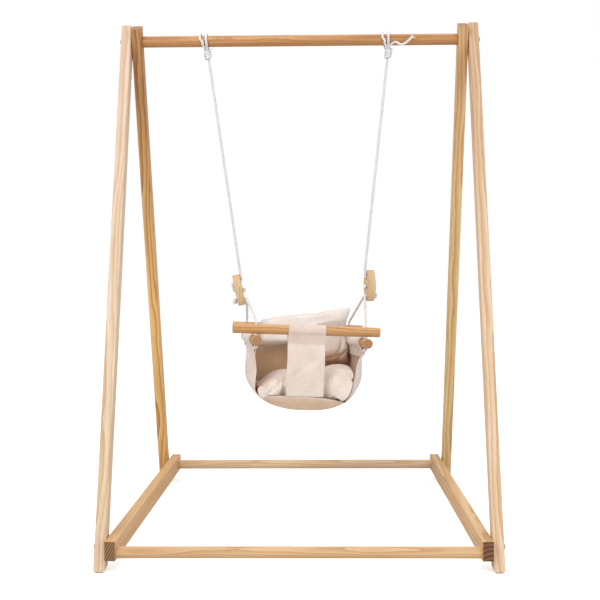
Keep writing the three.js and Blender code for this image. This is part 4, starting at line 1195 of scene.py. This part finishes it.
def add_seat_cushion(cloth):
    """A loose, soft cushion with fine folds on the left, pressed into the canvas."""
    piece = plump("seat_cushion", "seat_cushion_stuffed", 0.009)
    corners, normal = seat_coords(piece), corner_normals(piece)
    points = slumped(*(corners[:, axis].copy() for axis in range(3)))
    left = unit((20 - points[:, 0]) / 120)
    crease = creases(points, [
        ((-108, -128, -140), 72, 20), ((-94, -126, -130), 50, 24), ((-80, -128, -116), 78, 26),
        ((-70, -130, -142), 84, 20), ((-124, -122, -130), 35, 14), ((-88, -120, -102), 24, 18),
        ((-66, -126, -112), 88, 26), ((-116, -122, -118), 60, 14), ((124, -122, -100), -60, 20),
    ])
    fine = folds(points, 24, 4.0, (1, 0.5, 1)) * (0.7 + 2.2 * left)
    wrinkle = fine + folds(points, 60, 7.0) * 1.6 - crease * 6.5
    points += normal * wrinkle[:, None]
    on_canvas(points)
    set_seat_coords(piece, points)
    finish_piece(piece, cloth, "swing_seat", "seat_cushion", slot="cushion_cloth")


def lip_share(x):
    """How far the front lip has risen at x, from 0 to 1."""
    spread = np.sign(x) * SHELL_HALF * unit(np.abs(x) / SHELL_HALF) ** (SHELL_POWER / 2)
    return np.maximum(0, 1 - ((spread - LIP_MIDDLE) / LIP_HALF) ** 2)


def edge_y(x):
    """The front edge of the seat at x."""
    return SHELL_FRONT - LIP_FORWARD * lip_share(x)


def canvas_top(x, y):
    """The inner face of the seat under a point."""
    slope = (hang_z(np.abs(x) + 1, y) - hang_z(np.maximum(np.abs(x) - 1, 0), y)) / 2
    along = (y - edge_y(x)) / (SHELL_REAR - edge_y(x))
    lip = LIP_RISE * lip_share(x) * unit(1 - along / LIP_SHARE) ** LIP_POWER
    return hang_z(x, y) + lip + rear_rise(y) + 2.6 * np.hypot(1, slope)


def creases(points, lines):
    """Narrow valleys in cloth. Each runs through a point at an angle seen from the front, with its length."""
    depth = np.zeros(len(points))
    for place, angle, reach in lines:
        turn = math.radians(angle)
        step = points - np.array(place)
        along = step[:, 0] * math.cos(turn) + step[:, 2] * math.sin(turn)
        across = step[:, 2] * math.cos(turn) - step[:, 0] * math.sin(turn)
        near = np.exp(-((across / 2.9) ** 2) - (along / reach) ** 2 - (step[:, 1] / 30) ** 2)
        depth = np.maximum(depth, near)
    return depth


def add_back_cushion(cloth):
    """A cushion against the panel, thick below and sagging on the right."""
    piece = plump("back_cushion", "back_cushion_stuffed", 0.008)
    points, normal = seat_coords(piece), corner_normals(piece)
    x, y, z = points.T
    front = unit((100 - y - panel_lean(x, z)) / 30)
    wrinkle = folds(points, 22, 14.0, (1, 1, 0.6)) * 1.5 + folds(points, 55, 3.0) * 1.6
    points += normal * (wrinkle * front)[:, None]
    # The lower edge bulges forwards on the left, and on the right the corner sags in folds
    y -= 11 * front * np.exp(-(((z + 4) / 17) ** 2)) * unit((10 - x) / 50)
    sag = creases(points, [((112, 76, -38), 62, 34), ((84, 70, -52), 24, 34), ((104, 70, -12), 74, 26)])
    points += normal * (-5.5 * sag)[:, None]
    x += 8 * unit((x - 60) / 70) * unit((10 - z) / 30)
    x += 8 * np.interp(x, [-120, -70, 70, 120], [-1, 0, 0, 1])
    x += 12 * unit((x - 60) / 70) * np.exp(-(((z + 14) / 26) ** 2))
    x[:] = np.minimum(x, panel_half(z) - 1.5)
    z += 15 * unit((z - back_top(x) + 50) / 38) ** 2
    behind = SHELL_REAR - 2 - panel_lean(x, z) - 2.6 - 0.8
    y[:] = np.minimum(y, behind)
    set_seat_coords(piece, points)
    finish_piece(piece, cloth, "swing_seat", "back_cushion", slot="cushion_cloth")


# Stitches in millimetres. Each ring: its place along the stitch, its thickness and its height off the cloth
STITCH_PITCH, STITCH_LENGTH, STITCH_RADIUS = 4.2, 2.9, 0.42
STITCH_RINGS = ((0, 0, -0.3), (0.12, 0.8, 0.1), (0.5, 1, 0.35), (0.88, 0.8, 0.1), (1, 0, -0.3))


def stitches(name, rows, thread):
    """Raised bars of thread. Each row is (points, outward normals) in millimetres in the seat's frame."""
    grids = []
    for points, outward in rows:
        steps = run_lengths(points)
        for place in np.arange(STITCH_PITCH / 2, steps[-1] - STITCH_PITCH / 2, STITCH_PITCH):
            start, end = (
                np.array([np.interp(place + shift, steps, points[:, k]) for k in range(3)])
                for shift in (-STITCH_LENGTH / 2, STITCH_LENGTH / 2)
            )
            out = np.array([np.interp(place, steps, outward[:, k]) for k in range(3)])
            out /= np.linalg.norm(out)
            side = np.cross((end - start) / np.linalg.norm(end - start), out)
            rings = []
            for share, size, rise in STITCH_RINGS:
                centre = start + (end - start) * share + out * rise
                ring = [
                    centre + (side * math.cos(a) + out * math.sin(a)) * STITCH_RADIUS * size
                    for a in 2 * math.pi * np.arange(6) / 6
                ]
                rings.append([tuple(SEAT @ Vector(p / 1000)) for p in ring])
            grids.append((np.array(rings), np.zeros((5, 7, 2)), True))
    return finish_piece(closed_up(skinned(name, grids)), thread, "swing_seat", slot="canvas")


def add_stitching(thread, strap, strap_normal):
    """Two rows across the strap below the bar, one along each of its edges, and one along the panel's hem."""
    front = -strap_normal
    rows = []
    heights = strap[:, 30, 2]
    face = 70  # the first row of the strap's front face
    behind = np.where(np.arange(len(strap)) > face, 0, 999)
    for z in (-8.0, -12.0):
        row = int(np.argmin(np.abs(heights - z) + behind))
        rows.append((strap[row] + front[row] * 1.3, front[row]))
    for column in (5, 55):
        rows.append((strap[face:, column] + front[face:, column] * 1.3, front[face:, column]))
    stitches("strap_stitches", rows, thread)
    top = panel_points(np.linspace(0, 1, 81), np.full(81, 0.955))
    lean = np.tile(np.array([0, -1, 0.2]), (81, 1))
    stitches("panel_hem_stitches", [(top + lean * 2.9, lean)], thread)


def laid_rope_fibre():
    """White spun polyester rope: matt, with fine yarns round each strand, and soft grey in places."""
    material, tree, surface = new_material("spun polyester rope, laid", Roughness=0.82, IOR=1.5)
    surface.inputs["Sheen Weight"].default_value = 0.25
    surface.inputs["Sheen Roughness"].default_value = 0.4
    where = add_node(tree, "UVMap", uv_map="cloth").outputs[0]
    turned = add_node(tree, "Mapping", {"Vector": where, "Rotation": (0, 0, math.radians(38))}).outputs[0]
    # Yarns 0.9 mm apart
    bands = {"Vector": turned, "Scale": WAVE_LENGTH / 0.0009, "Detail": 1.0, "Distortion": 0.4}
    yarns = add_node(tree, "TexWave", bands).outputs["Fac"]
    where = add_node(tree, "TexCoord").outputs["Object"]
    grey = add_node(tree, "TexNoise", {"Vector": where, "Scale": 60.0, "Detail": 2.0}).outputs["Fac"]
    stops = [(0.0, "#F0EFED"), (0.45, "#FBFBFA"), (1.0, "#FFFFFF")]
    colour = add_node(tree, "ValToRGB", {"Fac": yarns}, stops).outputs[0]
    colour = toned(tree, colour, 0.7, grey, [(0.3, "#F2F1EF"), (0.6, "#FFFFFF")])
    dress(tree, surface, colour, yarns, 0.6, 0.0003)
    return material


def weave_height(tree, where, thread, solid):
    """Threads that cross, thread metres apart: a sheet's run in two directions, a cushion's in three."""
    bands = {"Vector": where, "Scale": WAVE_LENGTH / thread, "Distortion": 0.35, "Detail": 1.0}
    waves = [
        add_node(tree, "TexWave", bands, wave_type="BANDS", bands_direction=axis).outputs["Fac"]
        for axis in ("XYZ" if solid else "XY")
    ]
    weave = add_node(tree, "Math", {0: waves[0], 1: waves[1]}, operation="MULTIPLY").outputs[0]
    if solid:
        upright = add_node(tree, "Math", {0: waves[2], 1: waves[0]}, operation="MULTIPLY").outputs[0]
        weave = add_node(tree, "Math", {0: weave, 1: upright}, operation="MAXIMUM").outputs[0]
    return weave


def slub_yarns(tree, where):
    """Slubs: yarns 1.5 mm thick for some 40 mm, in both directions."""
    yarns = []
    for scale in ((700, 24, 24), (24, 700, 24)):
        way = add_node(tree, "Mapping", {"Vector": where, "Scale": scale}).outputs[0]
        yarns.append(add_node(tree, "TexNoise", {"Vector": way, "Scale": 1.0, "Detail": 2.0}).outputs["Fac"])
    both = add_node(tree, "Math", {0: yarns[0], 1: yarns[1]}, operation="ADD").outputs[0]
    return add_node(tree, "Math", {0: both, 1: 0.5}, operation="MULTIPLY").outputs[0]


def graded_tone(tree, colour, tone, way, start, end):
    """Colour that grows along one direction of the seat's frame, from start to end in metres; most of these
    are painted shade.
    """
    way = SEAT.to_3x3() @ Vector(way)
    where = add_node(tree, "TexCoord").outputs["Object"]
    along = add_node(tree, "VectorMath", {0: where, 1: way}, operation="DOT_PRODUCT").outputs["Value"]
    zero = SEAT.translation.dot(way)
    reach = {"Value": along, "From Min": zero + start, "From Max": zero + end}
    share = add_node(tree, "MapRange", reach).outputs[0]
    full = {0: 1.0, 6: colour, 7: linear(tone)}
    full = add_node(tree, "Mix", full, data_type="RGBA", blend_type="MULTIPLY").outputs[2]
    return add_node(tree, "Mix", {0: share, 6: colour, 7: full}, data_type="RGBA").outputs[2]


def woven_cloth(name, base, shade, solid=False, thread=0.0013, tints=()):
    """Plain-woven cotton: matt, with thick and thin yarns and faint uneven washing. Its real threads are
    0.5 mm apart, and they are drawn at two to three times that so that the weave shows."""
    material, tree, surface = new_material(name, Roughness=0.92, IOR=1.5)
    surface.inputs["Sheen Weight"].default_value = 0.18
    surface.inputs["Sheen Roughness"].default_value = 0.45
    everywhere = add_node(tree, "TexCoord").outputs["Object"]
    if solid:
        turn = SEAT.to_3x3().inverted().to_euler()
        where = add_node(tree, "Mapping", {"Vector": everywhere, "Rotation": turn}).outputs[0]
    else:
        where = add_node(tree, "UVMap", uv_map="cloth").outputs[0]
    weave, slub = weave_height(tree, where, thread, solid), slub_yarns(tree, where)
    colour = add_node(tree, "ValToRGB", {"Fac": slub}, [(0.38, shade), (0.56, base)]).outputs[0]
    for tint in tints:
        colour = graded_tone(tree, colour, *tint)
    colour = toned(tree, colour, 0.55, weave, [(0.0, "#EDE6DF"), (0.5, "#FFFFFF")])
    wash = add_node(tree, "TexNoise", {"Vector": everywhere, "Scale": 22.0, "Detail": 3.0}).outputs["Fac"]
    colour = toned(tree, colour, 0.6, wash, [(0.35, "#F4ECE4"), (0.6, "#FFFFFF")])
    height = add_node(tree, "Math", {0: weave, 1: slub}, operation="ADD").outputs[0]
    dress(tree, surface, colour, height, 0.5, 0.0004)
    return material


def small_material(name, kind, low, high, relief=(), **shader):
    """Two tones in a fine noise. Kind is the noise's scale, its detail and where the tones lie."""
    material, tree, surface = new_material(name, **shader)
    scale, detail, start, end = kind
    where = add_node(tree, "TexCoord").outputs["Object"]
    spots = add_node(tree, "TexNoise", {"Vector": where, "Scale": scale, "Detail": detail}).outputs["Fac"]
    colour = add_node(tree, "ValToRGB", {"Fac": spots}, [(start, low), (end, high)]).outputs[0]
    dress(tree, surface, colour, relief and spots, *relief)
    return material, tree, surface, spots


def cotton_thread():
    """Twisted cotton thread, a little lighter than the cloth."""
    kind = (900.0, 1.0, 0.35, 0.6)
    return small_material("twisted cotton thread", kind, "#E2D6C8", "#F4ECE2", Roughness=0.7, IOR=1.5)[0]


def zinc_steel():
    """Zinc-plated steel, turned and tumbled: grey, half glossy, with fine rubbed marks."""
    kind = (700.0, 3.0, 0.3, 0.7)
    material, tree, surface, marks = small_material(
        "zinc-plated steel", kind, "#8D8881", "#B4B0AA", Metallic=1.0, Roughness=0.34
    )
    rough = add_node(tree, "MapRange", {"Value": marks, "To Min": 0.26, "To Max": 0.48})
    tree.links.new(rough.outputs[0], surface.inputs["Roughness"])
    return material


def moulded_nylon():
    """Natural nylon, moulded: milky white, softly shiny."""
    kind = (160.0, 2.0, 0.3, 0.7)
    return small_material(
        "moulded natural nylon", kind, "#DDD8CC", "#ECE8DE", (0.1, 0.0002), Roughness=0.45, IOR=1.53
    )[0]


def pressed_felt():
    """Pressed wool felt: beige, dull, with short tangled fibres."""
    kind = (1400.0, 4.0, 0.35, 0.65)
    material, _, surface, _ = small_material(
        "pressed felt", kind, "#AD9375", "#D0B798", (0.8, 0.0006), Roughness=0.96, IOR=1.5
    )
    surface.inputs["Sheen Weight"].default_value = 0.3
    return material


def add_soft_goods():
    """The cloths' tones change along the seat: painted warm shade low on the outside, on the left and deep
    inside the seat, low on the panel and on the lower back cushion, and the strap a little greyer above its
    seam.
    """
    # Painted warm shade on the low part of the outside and its lip
    outside = woven_cloth(
        "cotton canvas, cream", "#F8EFE8", "#EDE1D7", tints=[("#F3E1CC", (0, 0, 1), -0.142, -0.168)]
    )
    # Painted warm shade on the inside: on the left wall and deeper in the seat
    lining = woven_cloth(
        "cotton canvas inside, painted shade on the left and deep in", "#F3E7DE", "#E8D8CC",
        tints=[("#E2B488", (1, 0, 0), -0.05, -0.12), ("#D2AE92", (0, 1, 0), 0.02, 0.11)],
    )
    # Painted warm shade on the panel's lower part, between the cushions
    panel_face = woven_cloth(
        "cotton canvas inside, painted shade below", "#F3E9E2", "#E8DBD0", tints=[("#FFEBCB", (0, 0, 1), -0.004, -0.05)]
    )
    # The strap is a little greyer above its seam
    strap_cloth = woven_cloth(
        "cotton canvas strap", "#F6EAE1", "#EBDDD2", tints=[("#F6F1F0", (0, 0, 1), -0.012, -0.004)]
    )
    cushion = woven_cloth("cotton cushion cover", "#F7EDE6", "#ECDFD5", solid=True, thread=0.0015)
    # Painted shade on the cushion's lower part, which turns under away from the light
    back_cover = woven_cloth(
        "cotton back cushion cover, painted shade below", "#F5F0ED", "#EBE4DF", solid=True, thread=0.0015,
        tints=[("#F8E6D6", (0, 0, 1), -0.002, -0.045), ("#DFC2AA", (0, 0, 1), -0.025, -0.065)],
    )
    add_canvas_seat(outside, lining)
    add_back_panel(outside, panel_face)
    strap, strap_normal = add_strap(strap_cloth)
    add_seat_cushion(cushion)
    add_back_cushion(back_cover)
    add_stitching(cotton_thread(), strap, strap_normal)


def add_ropes():
    fibre = laid_rope_fibre()
    add_hanging_ropes(fibre)
    add_sling_ropes(fibre)


# Light: a white surround that only the camera sees, soft lamps above and in front, and an even sky
def add_light():
    world = bpy.data.worlds.new("studio")
    bpy.context.scene.world = world
    world.use_nodes = True
    tree = world.node_tree
    tree.nodes.clear()
    path = add_node(tree, "LightPath")
    seen = path.outputs["Is Camera Ray"]
    for other in ("Is Glossy Ray", "Is Transmission Ray"):
        seen = add_node(tree, "Math", {0: seen, 1: path.outputs[other]}, operation="MAXIMUM").outputs[0]
    sky = add_node(tree, "Background", {"Color": linear("#F4F4F6"), "Strength": 0.66})
    white = add_node(tree, "Background", {"Color": (1, 1, 1, 1), "Strength": 1.0})
    both = add_node(tree, "MixShader", {0: seen, 1: sky.outputs[0], 2: white.outputs[0]})
    add_node(tree, "OutputWorld", {"Surface": both.outputs[0]})
    lamps = (
        ("key lamp", (-1.6, -2.6, 3.2), (0, 0, 0.7), 2.4, 68, "#FFF9F2"),
        ("fill lamp", (2.4, -2.4, 1.8), (0, 0, 0.7), 2.2, 25, "#F8FAFF"),
        ("top lamp", (0.2, 0.6, 3.4), (0, 0, 0.6), 2.6, 26, "#FFFFFF"),
    )
    for name, place, target, size, power, colour in lamps:
        lamp = bpy.data.lights.new(name, "AREA")
        lamp.size = size
        lamp.energy = power
        lamp.color = linear(colour)[:3]
        holder = bpy.data.objects.new(name, lamp)
        bpy.context.scene.collection.objects.link(holder)
        holder.location = place
        holder.rotation_mode = "QUATERNION"
        holder.rotation_quaternion = (Vector(target) - Vector(place)).to_track_quat("-Z", "Y")


def add_floor():
    deselect()
    bpy.ops.mesh.primitive_plane_add(size=14, location=(0, 0, -0.0003))
    floor = named("floor")
    material, tree, surface = new_material("pale paper floor", Roughness=0.9)
    surface.inputs["Base Color"].default_value = linear("#E4E4E4")
    path = add_node(tree, "LightPath")
    glow = add_node(tree, "Emission", {"Color": (1, 1, 1, 1), "Strength": 0.56})
    both = add_node(tree, "AddShader", {0: surface.outputs[0], 1: glow.outputs[0]})
    seen = path.outputs["Is Camera Ray"]
    pick = add_node(tree, "MixShader", {0: seen, 1: surface.outputs[0], 2: both.outputs[0]})
    output = next(n for n in tree.nodes if n.type == "OUTPUT_MATERIAL")
    tree.links.new(pick.outputs[0], output.inputs["Surface"])
    floor.data.materials.append(material)


add_camera()
add_light()
add_floor()
add_timbers()
add_stand_bars()
add_ropes()
add_seat_bars()
add_adjusters()
add_fasteners()
add_foot_pads()
add_soft_goods()

bpy.context.scene.view_settings.view_transform = "Standard"
